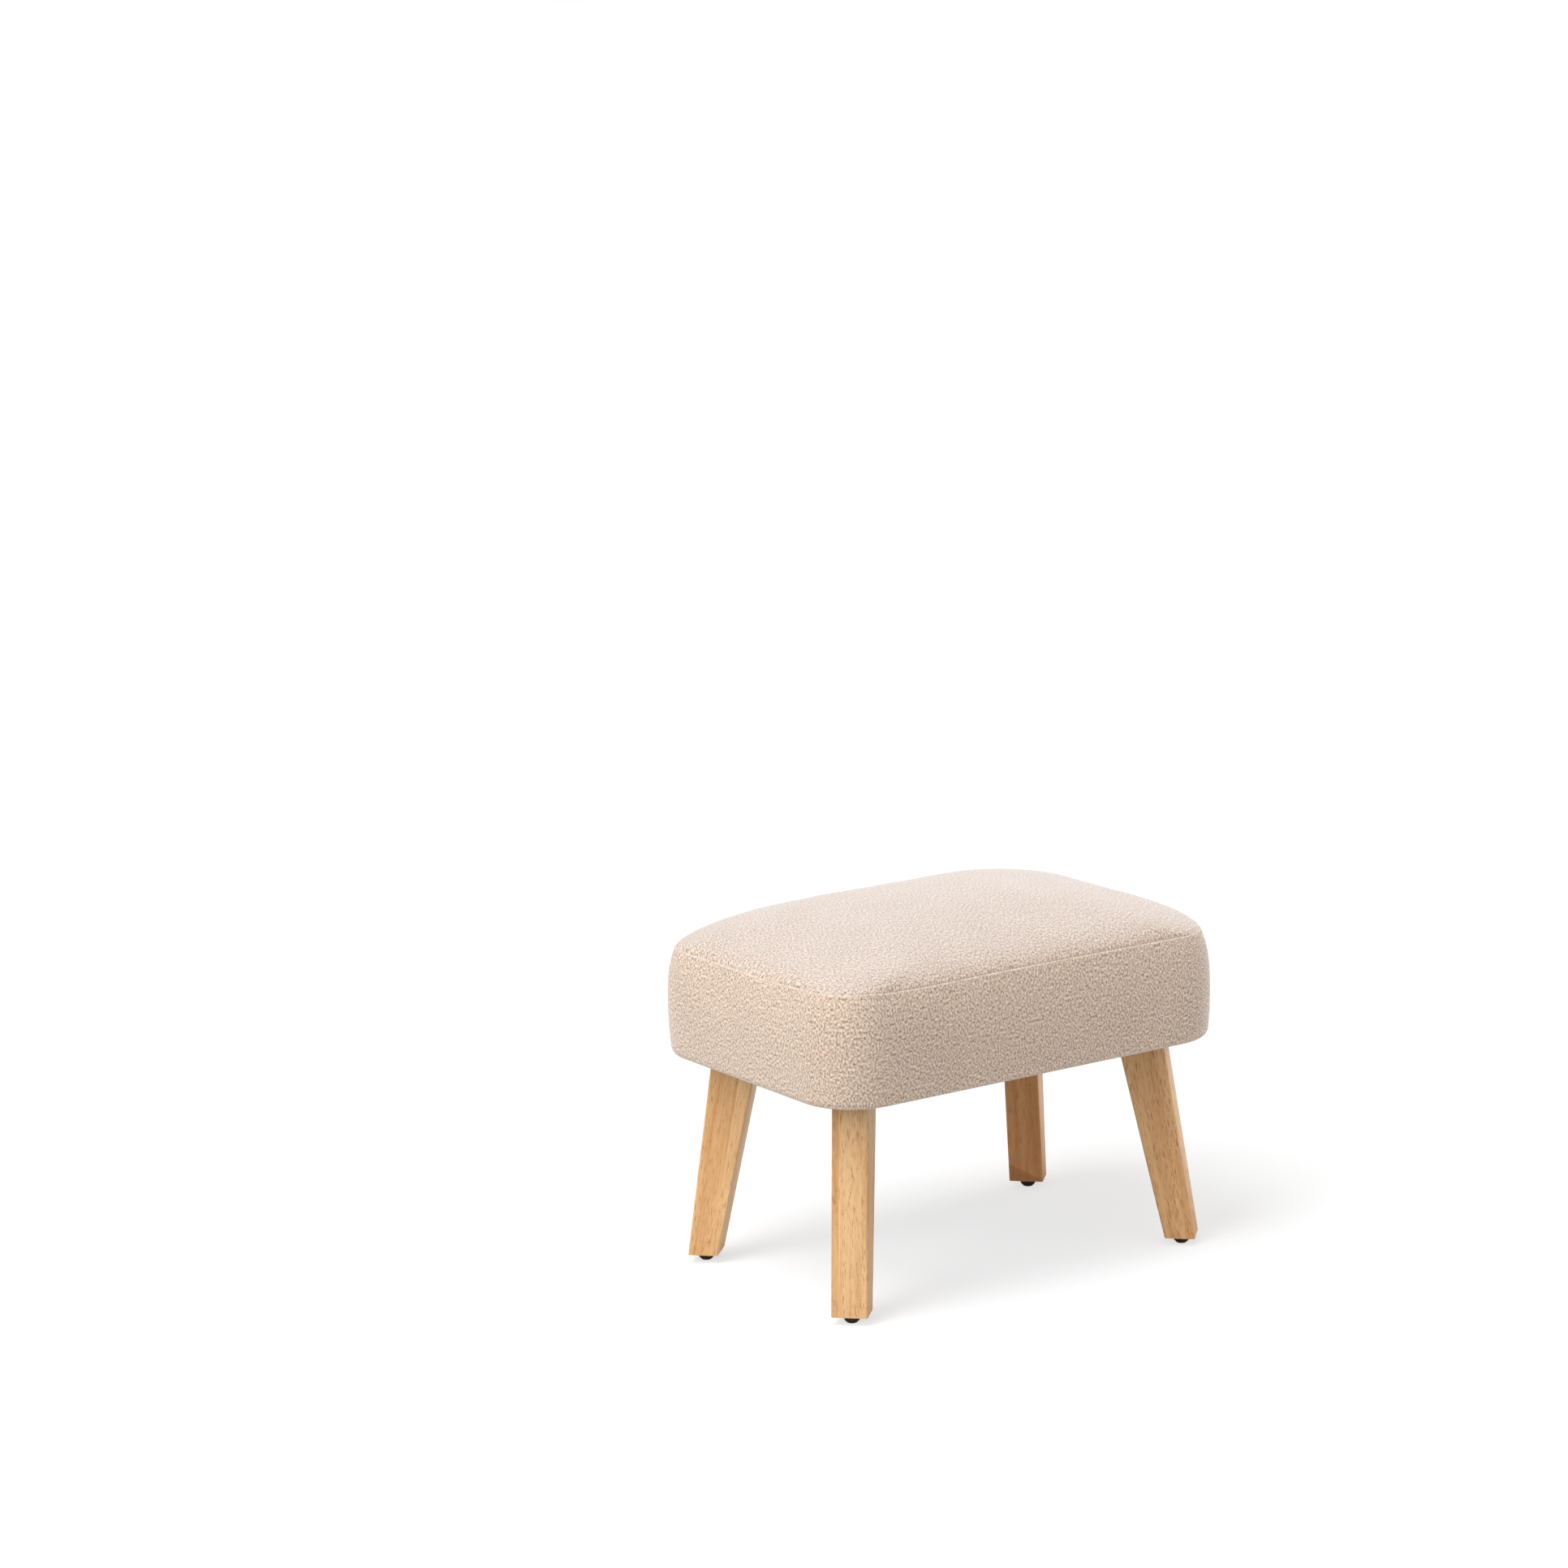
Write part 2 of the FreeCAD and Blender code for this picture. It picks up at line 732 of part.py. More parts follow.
def make_tee_nuts():
    """Flanged nuts sunk into the base board from above."""
    length, thickness = size("tee_nut_barrel_length"), size("tee_nut_flange_thickness")
    barrel = FASTENER_SIDES, size("tee_nut_barrel_radius"), -length, length
    flange = FASTENER_SIDES, size("tee_nut_flange_radius"), rake * 0, thickness
    nut = stepped_body("tee_nut", [barrel, flange])
    bore = new_sketch(nut, "bore", -length)
    draw_polygon(bore, FASTENER_SIDES, size("bolt_radius"))
    extrude(nut, "Pocket", bore, length + thickness, reversed_way=True)
    return copies("tee_nuts", nut, spots_on_plates(bolt_offsets(), board_top))


def make_glide(corner, nails):
    """A moulded glide round its nail, domed to a small flat on the floor."""
    body = new_body(f"glide_{corner}_blank")
    plan = new_sketch(body, "plan", 0)
    draw_polygon(plan, GLIDE_SIDES, size("glide_radius"))
    extrude(body, "Pad", plan, size("glide_height"))
    level, room = size("glide_bevel").value, clearance.value
    foot = lambda box: box.ZMax < room
    shoulder = lambda box: level - room < box.ZMin and box.ZMax < level + room
    round_edges(body, "Chamfer", foot, size("glide_bevel"))
    round_edges(body, "Chamfer", shoulder, size("glide_shoulder_bevel"))
    side_x, side_y = CORNERS[corner]
    place(body, side_x * foot_half_long, side_y * foot_half_short, 0)
    return drilled(f"glide_{corner}", body, nails)


def make_glide_nails():
    """The nail moulded into each glide, its head inside the dome."""
    thickness = size("nail_head_thickness")
    length = size("glide_height") - size("nail_head_height") + size("nail_grip")
    head = FASTENER_SIDES, size("nail_head_radius"), rake * 0, thickness
    shank = FASTENER_SIDES, size("nail_radius"), thickness, length - thickness
    nail = stepped_body("glide_nail", [head, shank])
    feet = [corner_point(corner, rake * 0, rake * 0) for corner in CORNERS]
    level, upright = size("nail_head_height"), FreeCAD.Rotation()
    return copies("glide_nails", nail, [(x, y, level, upright) for x, y in feet])


# Dust cover and staples


def staple_spots(level, inset, pitch_long, pitch_short, count_long, count_short):
    """Staples in evenly pitched rows along the four straight sides of the frame."""
    straight, crossed = FreeCAD.Rotation(), FreeCAD.Rotation(UP, SQUARE_TURN)
    spots = []
    for side in (-1, 1):
        for step in range(count_long):
            along = pitch_long * (step - (count_long - 1) * HALF)
            spots.append((along, side * (frame_half_depth - inset), level, straight))
        for step in range(count_short):
            along = pitch_short * (step - (count_short - 1) * HALF)
            spots.append((side * (frame_half_length - inset), along, level, crossed))
    return spots


def make_staple(label, crown_bottom):
    """A flat crown with two straight legs that reach up into the base board."""
    body = new_body(label)
    outline = new_sketch(body, "outline", 0, "XZ_Plane")
    half = size("staple_crown") * HALF
    wire, height = staple_wire, board_bottom - crown_bottom + size("staple_grip")
    right = [(half, 0), (half, height), (half - wire, height), (half - wire, wire)]
    left = [(-x, y) for x, y in reversed(right)]
    draw_outline(outline, right + left)
    extrude(body, "Pad", outline, size("staple_wire_width"), midplane=True)
    return body


def make_cover_staples():
    sizes = size("cover_staple_inset"), size("cover_staple_pitch_long")
    counts = COVER_STAPLES_LONG, COVER_STAPLES_SHORT
    spots = staple_spots(dust_top, *sizes, size("cover_staple_pitch_short"), *counts)
    return copies("cover_staples", make_staple("cover_staple", dust_top), spots)


def make_dust_cover_staples():
    level = dust_bottom - staple_wire
    sizes = size("dust_staple_inset"), size("dust_staple_pitch_long")
    counts = DUST_STAPLES_LONG, DUST_STAPLES_SHORT
    spots = staple_spots(level, *sizes, size("dust_staple_pitch_short"), *counts)
    return copies("dust_cover_staples", make_staple("dust_cover_staple", level), spots)


def make_dust_cover(staples):
    body = new_body("dust_cover_sheet")
    inset = size("dust_cover_inset")
    outline = new_sketch(body, "outline", dust_bottom)
    draw_rounded_rectangle(
        outline,
        frame_half_length - inset,
        frame_half_depth - inset,
        size("frame_corner_radius") - inset,
    )
    extrude(body, "Pad", outline, size("dust_cover_thickness"))
    room = size("plate_cut_clearance")
    for corner in CORNERS:
        centre = corner_point(corner, -rake, rake * 0)
        hole = new_sketch(body, f"hole_{corner}", dust_bottom, at=centre, turn=corner_turn(corner))
        half_along, half_across = size("plate_length") * HALF, size("plate_width") * HALF
        cut = size("plate_corner_cut")
        draw_cut_rectangle(hole, half_along + room, half_across + room, cut + room)
        extrude(body, "Pocket", hole, size("dust_cover_thickness"), reversed_way=True)
    return drilled("dust_cover", body, staples)


def build():
    """Makes every sub-part and returns the ones that are written out."""
    dowels, (deck_screws, base_screws) = make_rail_dowels(), make_frame_screws()
    leg_screws, nails = make_leg_screws(), make_glide_nails()
    bolts, nuts = make_plate_bolts(), make_tee_nuts()
    cover_staples, dust_staples = make_cover_staples(), make_dust_cover_staples()
    staples = cover_staples, dust_staples
    joinery = deck_screws, base_screws, dowels
    deck = make_board("seat_deck_panel", deck_bottom, size("deck_thickness"))
    panel = make_board("base_board_panel", board_bottom, size("base_board_thickness"))
    parts = [dowels, deck_screws, base_screws, leg_screws, nails, bolts, nuts, *staples]
    parts += [make_side_band(staples), make_top_panel(), make_wadding(), make_foam_pad()]
    parts.append(drilled("seat_deck", deck, deck_screws))
    parts.append(drilled("base_board", panel, base_screws, nuts, bolts, *staples))
    parts.append(make_dust_cover(dust_staples))
    parts += make_rails(joinery)
    for corner in CORNERS:
        parts.append(make_corner_block(corner, joinery))
        parts.append(make_leg(corner, leg_screws, nails))
        parts.append(make_leg_plate(corner, leg_screws, bolts))
        parts.append(make_glide(corner, nails))
    return parts


parts = build()
doc.recompute()

for obj in doc.Objects:
    if "Invalid" in obj.State or "Error" in obj.State:
        raise RuntimeError(f"{obj.Label} failed: {obj.State}")
for part in parts:
    if part.Shape.isNull() or not part.Shape.isValid() or not part.Shape.Solids:
        raise RuntimeError(f"{part.Label} has no valid solid")

os.makedirs("parts", exist_ok=True)
for part in parts:
    part.Shape.exportStep(os.path.join("parts", f"{part.Label}.step"))
    print(part.Label, len(part.Shape.Solids), "solids", round(part.Shape.Volume), "mm3")
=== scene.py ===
import math

import bpy
import numpy as np
from mathutils import Matrix, Vector, geometry


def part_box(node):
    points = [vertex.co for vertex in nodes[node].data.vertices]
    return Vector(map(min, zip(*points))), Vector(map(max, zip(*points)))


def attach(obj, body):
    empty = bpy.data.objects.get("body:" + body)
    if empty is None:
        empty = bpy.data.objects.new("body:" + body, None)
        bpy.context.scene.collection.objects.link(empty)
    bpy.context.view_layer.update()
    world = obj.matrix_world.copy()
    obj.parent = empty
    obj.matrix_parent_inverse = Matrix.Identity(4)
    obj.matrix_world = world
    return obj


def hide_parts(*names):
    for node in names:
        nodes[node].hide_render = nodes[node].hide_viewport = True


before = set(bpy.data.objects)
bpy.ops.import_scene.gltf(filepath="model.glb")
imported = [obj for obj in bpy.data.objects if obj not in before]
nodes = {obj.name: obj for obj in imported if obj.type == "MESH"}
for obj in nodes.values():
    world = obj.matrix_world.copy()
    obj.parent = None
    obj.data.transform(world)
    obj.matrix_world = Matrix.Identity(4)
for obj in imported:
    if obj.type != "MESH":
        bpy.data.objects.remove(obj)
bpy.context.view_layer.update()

cornerWays = {"front_left": (-1, -1), "front_right": (1, -1), "rear_left": (-1, 1), "rear_right": (1, 1)}


# Camera, floor and light

cameraSetup = {
    "place": (-2.77736, -3.83551, 1.49701),
    "azimuth": -33.874,
    "elevation": 11.387,
    "roll": -1.491,
    "lens": 99.87,
    "sensor": 36,
    "clip": (0.1, 200),
}


def makeCamera(setup):
    turn, lift, roll = (math.radians(setup[key]) for key in ("azimuth", "elevation", "roll"))
    back = Vector((math.sin(turn) * math.cos(lift), -math.cos(turn) * math.cos(lift), math.sin(lift)))
    level = Vector((math.cos(turn), math.sin(turn), 0))
    rise = back.cross(level)
    right = math.cos(roll) * level + math.sin(roll) * rise
    up = -math.sin(roll) * level + math.cos(roll) * rise
    data = bpy.data.cameras.new("camera")
    data.lens, data.sensor_width = setup["lens"], setup["sensor"]
    data.clip_start, data.clip_end = setup["clip"]
    camera = bpy.data.objects.new("camera", data)
    bpy.context.scene.collection.objects.link(camera)
    facing = Matrix((right, up, back)).transposed().to_4x4()
    camera.matrix_world = Matrix.Translation(setup["place"]) @ facing
    bpy.context.scene.camera = camera
    bpy.context.view_layer.update()


class Socket:
    # An output in a material, so that arithmetic on it adds Math nodes.
    def __init__(self, finish, socket):
        self.finish, self.socket = finish, socket

    def math(self, operation, *others):
        return self.finish.math(operation, self, *others)

    def __add__(self, other):
        return self.math("ADD", other)

    def __sub__(self, other):
        return self.math("SUBTRACT", other)

    def __rsub__(self, other):
        return self.finish.math("SUBTRACT", other, self)

    def __mul__(self, other):
        return self.math("MULTIPLY", other)

    __radd__, __rmul__ = __add__, __mul__

    def step(self, low, high):
        # 0 below low, 1 above high and smooth between; low may be the larger one
        return self.finish.node("MapRange", {"interpolation_type": "SMOOTHSTEP"},
                                {"Value": self, "From Min": low, "From Max": high})


class Finish:
    # One material: its nodes, and the sockets of its Principled shader.
    def __init__(self, name):
        self.material = bpy.data.materials.new(name)
        self.material.use_nodes = True
        self.tree = self.material.node_tree
        self.tree.nodes.clear()

    def node(self, kind, settings=None, inputs=None, output=0):
        made = self.tree.nodes.new("ShaderNode" + kind)
        for key, value in (settings or {}).items():
            setattr(made, key, value)
        for key, value in (inputs or {}).items():
            if isinstance(value, Socket):
                self.tree.links.new(value.socket, made.inputs[key])
            else:
                made.inputs[key].default_value = value
        return None if output is None else Socket(self, made.outputs[output])

    def math(self, operation, *values):
        return self.node("Math", {"operation": operation}, dict(enumerate(values)))

    def vector(self, operation, *values):
        return self.node("VectorMath", {"operation": operation}, dict(enumerate(values)))

    def place(self):
        return self.node("TexCoord", output="Object")

    def facingUp(self):
        return self.parts(self.node("TexCoord", output="Normal"))[2]

    def join(self, x, y, z):
        return self.node("CombineXYZ", None, {"X": x, "Y": y, "Z": z})

    def parts(self, vector):
        return [self.node("SeparateXYZ", None, {"Vector": vector}, axis) for axis in range(3)]

    def blend(self, amount, first, second, way="MIX"):
        settings = {"data_type": "RGBA", "blend_type": way}
        colors = [value if isinstance(value, Socket) else (*value, 1) for value in (first, second)]
        return self.node("Mix", settings, {0: amount, 6: colors[0], 7: colors[1]}, 2)

    def noise(self, place, cells, detail=2.0, roughness=0.5):
        # cells to the metre, as one number or one for each axis
        if isinstance(cells, tuple):
            place, cells = self.vector("MULTIPLY", place, cells), 1
        return self.node("TexNoise", None, {"Vector": place, "Scale": cells, "Detail": detail,
                                            "Roughness": roughness})

    def bump(self, height, strength, distance):
        return self.node("Bump", None, {"Height": height, "Strength": strength, "Distance": distance})

    def close(self, shader):
        self.node("OutputMaterial", None, {"Surface": shader}, None)
        return self.material

    def shade(self, **values):
        inputs = {}
        for key, value in values.items():
            name = key.replace("_", " ").title().replace("Ior", "IOR")
            inputs[name] = (*value, 1) if isinstance(value, tuple) else value
        return self.close(self.node("BsdfPrincipled", None, inputs))


lightSetup = {
    "ambient": 0.52,
    # each lamp's strength, where it shines from and how wide it is, in degrees
    "lamps": {
        "over": (0.58, (-0.38, -0.03, 0.80), 32),
        "left": (0.35, (-0.87, -0.10, 0.50), 40),
        "right": (0.42, (0.92, 0.22, 0.34), 45),
    },
    "floorSeen": (0.9, 0.9, 0.9),
    "floorBounce": (0.72, 0.72, 0.72),
    "floorWhite": 0.65,
    "floorReach": 60,
    "floorGrain": 40,
    "floorRough": (0.85, 0.08),
}


def makeLight(setup):
    bpy.context.scene.view_settings.view_transform = "Standard"
    for name, (strength, place, spread) in setup["lamps"].items():
        sun = bpy.data.lights.new(name, "SUN")
        sun.energy = strength * math.pi
        sun.angle = math.radians(spread)
        lamp = bpy.data.objects.new(name, sun)
        lamp.rotation_mode = "QUATERNION"
        lamp.rotation_quaternion = Vector(place).to_track_quat("Z", "Y")
        bpy.context.scene.collection.objects.link(lamp)

    world = bpy.data.worlds.new("studio")
    bpy.context.scene.world = world
    world.use_nodes = True
    tree = world.node_tree
    tree.nodes.clear()
    path = tree.nodes.new("ShaderNodeLightPath")
    plain, white = (tree.nodes.new("ShaderNodeBackground") for way in range(2))
    plain.inputs["Strength"].default_value = setup["ambient"]
    white.inputs["Strength"].default_value = 1
    for shader in (plain, white):
        shader.inputs["Color"].default_value = (1, 1, 1, 1)
    seen = path.outputs["Is Camera Ray"]
    for ray in ("Is Glossy Ray", "Is Transmission Ray"):
        either = tree.nodes.new("ShaderNodeMath")
        either.operation = "MAXIMUM"
        tree.links.new(seen, either.inputs[0])
        tree.links.new(path.outputs[ray], either.inputs[1])
        seen = either.outputs[0]
    mix = tree.nodes.new("ShaderNodeMixShader")
    for number, source in enumerate((seen, plain.outputs[0], white.outputs[0])):
        tree.links.new(source, mix.inputs[number])
    tree.links.new(mix.outputs[0], tree.nodes.new("ShaderNodeOutputWorld").inputs["Surface"])


def makeFloor(setup):
    reach = setup["floorReach"]
    mesh = bpy.data.meshes.new("floor")
    mesh.from_pydata([(-reach, -reach, 0), (reach, -reach, 0), (reach, reach, 0), (-reach, reach, 0)],
                     [], [(0, 1, 2, 3)])
    floor = bpy.data.objects.new("floor", mesh)
    bpy.context.scene.collection.objects.link(floor)
    # pale to the lamps and close to white in the picture, where it keeps soft shadows
    paint = Finish("floor")
    seen = paint.node("LightPath", output="Is Camera Ray")
    grain = paint.noise(paint.place(), setup["floorGrain"])
    color = paint.blend(seen, setup["floorBounce"], setup["floorSeen"])
    rough, roughGrain = setup["floorRough"]
    matte = paint.node("BsdfDiffuse", None, {"Color": color, "Roughness": rough + grain * roughGrain})
    white = paint.node("Emission", None, {"Color": (1, 1, 1, 1)})
    mixed = paint.node("MixShader", None, {0: seen * setup["floorWhite"], 1: matte, 2: white})
    mesh.materials.append(paint.close(mixed))


makeCamera(cameraSetup)
makeLight(lightSetup)
makeFloor(lightSetup)
print("camera, light and floor made")


# Upholstery form: a rounded rectangle's columns, rows up the side and rings over the crown

bandLow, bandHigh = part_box("side_band")

form = {
    "halfLength": bandHigh.x,
    "halfDepth": bandHigh.y,
    "underside": bandLow.z,
    "seam": bandHigh.z,
    "top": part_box("top_panel")[1].z,
    "corner": 0.070,
    "belly": 0.052,            # where the boxing is widest, over the underside
    "undersideInset": 0.003,
    "seamInset": 0.0105,
    "sidePower": 3,
    "roll": 0.009,
    # the crown's slopes up, along and across, how its corners open out, and the share of its rise at which
    # the rings end and the middle grid begins
    "risePower": 1.8,
    "longPower": 1.9,
    "shortPower": 1.7,
    "rounding": 0.85,
    "crownEdgeShare": 0.6,
    "slopeSamples": 400,       # steps in working out the crown's length and height
    "halvings": 34,
    "longCells": 76,
    "shortCells": 44,
    "arcCells": 10,
}


def cellCounts(density):
    # cells of a short side, a long side and an eighth of a turn
    return [round(form[key] * density) for key in ("shortCells", "longCells", "arcCells")]


def gridCells(density):
    # cells of the middle grid, along and across
    short, long, arc = cellCounts(density)
    return long + 2 * arc, short + 2 * arc


def outlineColumns(density):
    # For each column round the form: which corner it belongs to, as signs that blend along the straight
    # sides, and the way it faces. The first is in the middle of the rear left corner, then the left side.
    corners = [(-1, 1), (-1, -1), (1, -1), (1, 1)]
    short, long, arc = cellCounts(density)
    signs, ways = [], []
    for number in range(4):
        here, there = np.array(corners[number], float), np.array(corners[(number + 1) % 4], float)
        start = math.radians(135 + 90 * number)
        cells = (short, long)[number % 2]
        for share in np.arange(arc) / arc:
            signs.append(here)
            ways.append(start + math.pi / 4 * share)
        for share in np.arange(cells) / cells:
            signs.append(here + (there - here) * share)
            ways.append(start + math.pi / 4)
        for share in np.arange(arc) / arc:
            signs.append(there)
            ways.append(start + math.pi / 4 * (1 + share))
    ways = np.array(ways)
    return np.array(signs), np.column_stack((np.cos(ways), np.sin(ways)))


def ring(columns, halfX, halfY, radius, height):
    signs, ways = columns
    flat = signs * (np.array((halfX, halfY)) - radius) + ways * radius
    return np.column_stack((flat, np.full(len(flat), height)))


def sideInset(height):
    # how far the side lies in from the widest outline, at a height over the underside
    if height < form["belly"]:
        return form["undersideInset"] * (1 - height / form["belly"]) ** 2
    band = form["seam"] - form["underside"]
    return form["seamInset"] * ((height - form["belly"]) / (band - form["belly"])) ** form["sidePower"]


def insetRing(columns, inset, height):
    span = (form[key] - inset for key in ("halfLength", "halfDepth", "corner"))
    return ring(columns, *span, height)


def crownSpan(share, offset=0.0):
    # half length, half depth and corner radius of the crown at a share of its rise
    inset = form["seamInset"] + offset
    left = 1 - share ** form["risePower"]
    reachLong, reachShort = left ** (1 / form["longPower"]), left ** (1 / form["shortPower"])
    halfX, halfY = (form["halfLength"] - inset) * reachLong, (form["halfDepth"] - inset) * reachShort
    scaled = (form["corner"] - inset) * reachShort
    return halfX, halfY, scaled + (halfY - scaled) * form["rounding"] * share


def crownShares(pitch):
    # shares of the rise from the seam to the edge of the middle grid, a pitch apart along the slope
    shares = np.linspace(0, form["crownEdgeShare"], form["slopeSamples"])
    line = np.array([(crownSpan(share)[0], (form["top"] - form["seam"]) * share) for share in shares])
    walked = np.concatenate(([0], np.cumsum(np.hypot(*np.diff(line, axis=0).T))))
    count = round(walked[-1] / pitch)
    stops = np.linspace(0, walked[-1], count + 1)
    return np.interp(stops, walked, shares), stops


def crownHeight(flat, offset=0.0):
    # height of the crown over points in plan, by halving the share of the rise
    low, high = np.zeros(len(flat)), np.ones(len(flat))
    for halving in range(form["halvings"]):
        share = (low + high) / 2
        halfX, halfY, radius = crownSpan(share, offset)
        past = np.abs(flat) - np.column_stack((halfX - radius, halfY - radius))
        distance = np.hypot(*np.maximum(past, 0).T) + np.minimum(past.max(axis=1), 0) - radius
        low, high = np.where(distance < 0, share, low), np.where(distance < 0, high, share)
    return form["seam"] + (form["top"] - form["seam"] - offset) * low


def gridSides(edge, density):
    # the left, front, right and rear of a ring, each in the order of the grid's points
    along, across = gridCells(density)
    up, right = np.arange(across + 1), np.arange(along + 1)
    return (edge[across - up], edge[across + right], edge[across + along + up],
            edge[(2 * across + 2 * along - right) % len(edge)])


def middleGrid(edge, density, offset=0.0):
    # points inside a ring, one more each way than the grid has cells, lifted onto the crown
    along, across = gridCells(density)
    left, front, right, rear = (side[:, :2] for side in gridSides(edge, density))
    a = (np.arange(along + 1) / along)[:, None, None]
    b = (np.arange(across + 1) / across)[None, :, None]
    flat = (1 - b) * front[:, None] + b * rear[:, None] + (1 - a) * left[None] + a * right[None]
    flat -= ((1 - a) * (1 - b) * front[0] + a * (1 - b) * front[-1]
             + (1 - a) * b * rear[0] + a * b * rear[-1])
    points = np.dstack((flat, crownHeight(flat.reshape(-1, 2), offset).reshape(flat.shape[:2])))
    points[0], points[:, 0], points[-1], points[:, -1] = gridSides(edge, density)
    return points


def gridNumbers(edgeRow, firstFree, density):
    # vertex numbers of the middle grid, its border taken from the ring around it
    along, across = gridCells(density)
    numbers = np.zeros((along + 1, across + 1), int)
    numbers[0], numbers[:, 0], numbers[-1], numbers[:, -1] = gridSides(edgeRow, density)
    numbers[1:-1, 1:-1] = firstFree + np.arange((along - 1) * (across - 1)).reshape(along - 1, across - 1)
    return numbers


def gridFaces(grid):
    return [(grid[i, j], grid[i + 1, j], grid[i + 1, j + 1], grid[i, j + 1])
            for i in range(grid.shape[0] - 1) for j in range(grid.shape[1] - 1)]


def stripFaces(rows, closed=True):
    # faces between rows of vertex numbers, outward when the columns run anticlockwise and the rows upward
    following = np.roll(rows, -1, axis=1) if closed else rows[:, 1:]
    here = rows if closed else rows[:, :-1]
    return [face for r in range(len(rows) - 1)
            for face in zip(here[r], following[r], following[r + 1], here[r + 1])]


def closedForm(rings, grid, density):
    # points and faces of rings with a middle grid in the last of them, and the vertex numbers of both
    rows = np.arange(rings.shape[0] * rings.shape[1]).reshape(rings.shape[:2])
    numbers = gridNumbers(rows[-1], rows.size, density)
    points = np.vstack((rings.reshape(-1, 3), grid[1:-1, 1:-1].reshape(-1, 3)))
    return points, stripFaces(rows) + gridFaces(numbers), rows, numbers


def looseMesh(name, points, faces):
    mesh = bpy.data.meshes.new(name)
    mesh.from_pydata([tuple(point) for point in points], [],
                     [tuple(int(v) for v in face) for face in faces])
    piece = bpy.data.objects.new(name, mesh)
    bpy.context.scene.collection.objects.link(piece)
    return piece


def makeMesh(name, points, faces, slotName, finish):
    piece = looseMesh(name, points, faces)
    piece.data.polygons.foreach_set("use_smooth", [True] * len(piece.data.polygons))
    piece.data.materials.append(finish)
    return piece


# Cover: crowned top panel sewn to the boxing, whose lower edge is rolled under the base

cover = {
    "density": 1.5,
    "sidePitch": 0.0052,
    "topPitch": 0.0050,
    "hemRows": (0.0157, 0.0110, 0.0073),     # how far the turned-under hem goes in from the roll
    "hemEdge": 0.0014,         # how far its raw edge turns up
    "rollSteps": 5,
    # rows beside the seam and how far the fabric stands out there: from below, the edge of the turned-in
    # cloth, the boxing's fold and the groove of the seam
    "seamRows": {-0.0078: 0.0001, -0.0062: -0.0003, -0.0046: 0.0001, -0.0032: 0.0001, -0.0020: 0.0003,
                 -0.0011: 0.0004, -0.0005: 0.0001, 0: -0.0003, 0.0005: -0.0001, 0.0011: 0, 0.0020: 0,
                 0.0032: 0},
    "rowMatch": 0.0001,        # how near them a row has to be to be one of them
    "evenRowsEnd": 0.0095,     # how far under the seam the boxing's even rows end
    # where the seam's fold is painted lighter, and how wide that is: a painted highlight
    "foldHighlightPlace": -0.0010,
    "foldHighlightWidth": 0.0011,
    # puckers beside the seam: depth, reach and length, the long waves that shift them and let them come and
    # go, their share of depth along the sides and above the seam, and the width left even at the seam
    "puckerDepth": 0.0007,
    "puckerReach": 0.012,
    "puckerLength": 0.0093,
    "puckerShift": (2.2, 0.061),
    "puckerSwell": (0.4, 0.037, 1.1),
    "puckerCorner": 0.16,
    "puckerSideShare": 0.08,
    "puckerTopShare": 0.3,
    "puckerStart": 0.0015,
    # short creases pressed in under the seam: place round the outline, distance from the seam, the half
    # widths of both, and depth
    "creases": [(1.0, -0.006, 0.010, 0.005, 0.0012), (1.107, -0.006, 0.009, 0.005, 0.0012),
                (1.055, -0.0062, 0.05, 0.0012, 0.0008), (1.047, -0.0165, 0.022, 0.003, 0.0012),
                (0.72, -0.006, 0.02, 0.004, 0.0006), (2.0, -0.006, 0.012, 0.005, 0.0008),
                (3.0, -0.006, 0.012, 0.005, 0.0008)],
    # how far the seam runs above or below its level, at places round the outline: 0 is the rear left
    # corner, 1 the front left, 2 the front right, 3 the rear right; and how far from it that fades out
    "seamDrift": {0.0: 0.0, 0.35: 0.0008, 0.62: 0.0001, 0.85: 0.0029, 1.05: 0.0031, 1.14: 0.0006,
                  1.22: -0.0002, 1.42: 0.0008, 1.85: 0.0003, 2.5: 0.0, 3.0: 0.0012, 3.5: -0.0005},
    "driftFade": (0.075, 0.060),
    "weavePeriods": 75,        # pairs of columns in the boxing's whole length
    "weaveFall": 0.5,          # how much the weave on top stretches down the crown's front and rear
}


def cornerPlace(density):
    # each column's place round the outline, with a whole number at each corner's middle
    along, across = gridCells(density)
    spans = (across, along, across, along)
    return np.concatenate([number + np.arange(span) / span for number, span in enumerate(spans)])


def eased(share):
    return share * share * (3 - 2 * share)


def smoothRound(stops, places):
    # a value at stops round the outline, joined by smooth half waves
    keys = sorted(stops)
    values = [stops[key] for key in keys]
    keys, values = np.array(keys + [4 + keys[0]]), np.array(values + [values[0]])
    places = (places - keys[0]) % 4 + keys[0]
    after = np.searchsorted(keys, places, side="right").clip(1, len(keys) - 1)
    way = (places - keys[after - 1]) / (keys[after] - keys[after - 1])
    way = (1 - np.cos(np.pi * way)) / 2
    return values[after - 1] * (1 - way) + values[after] * way


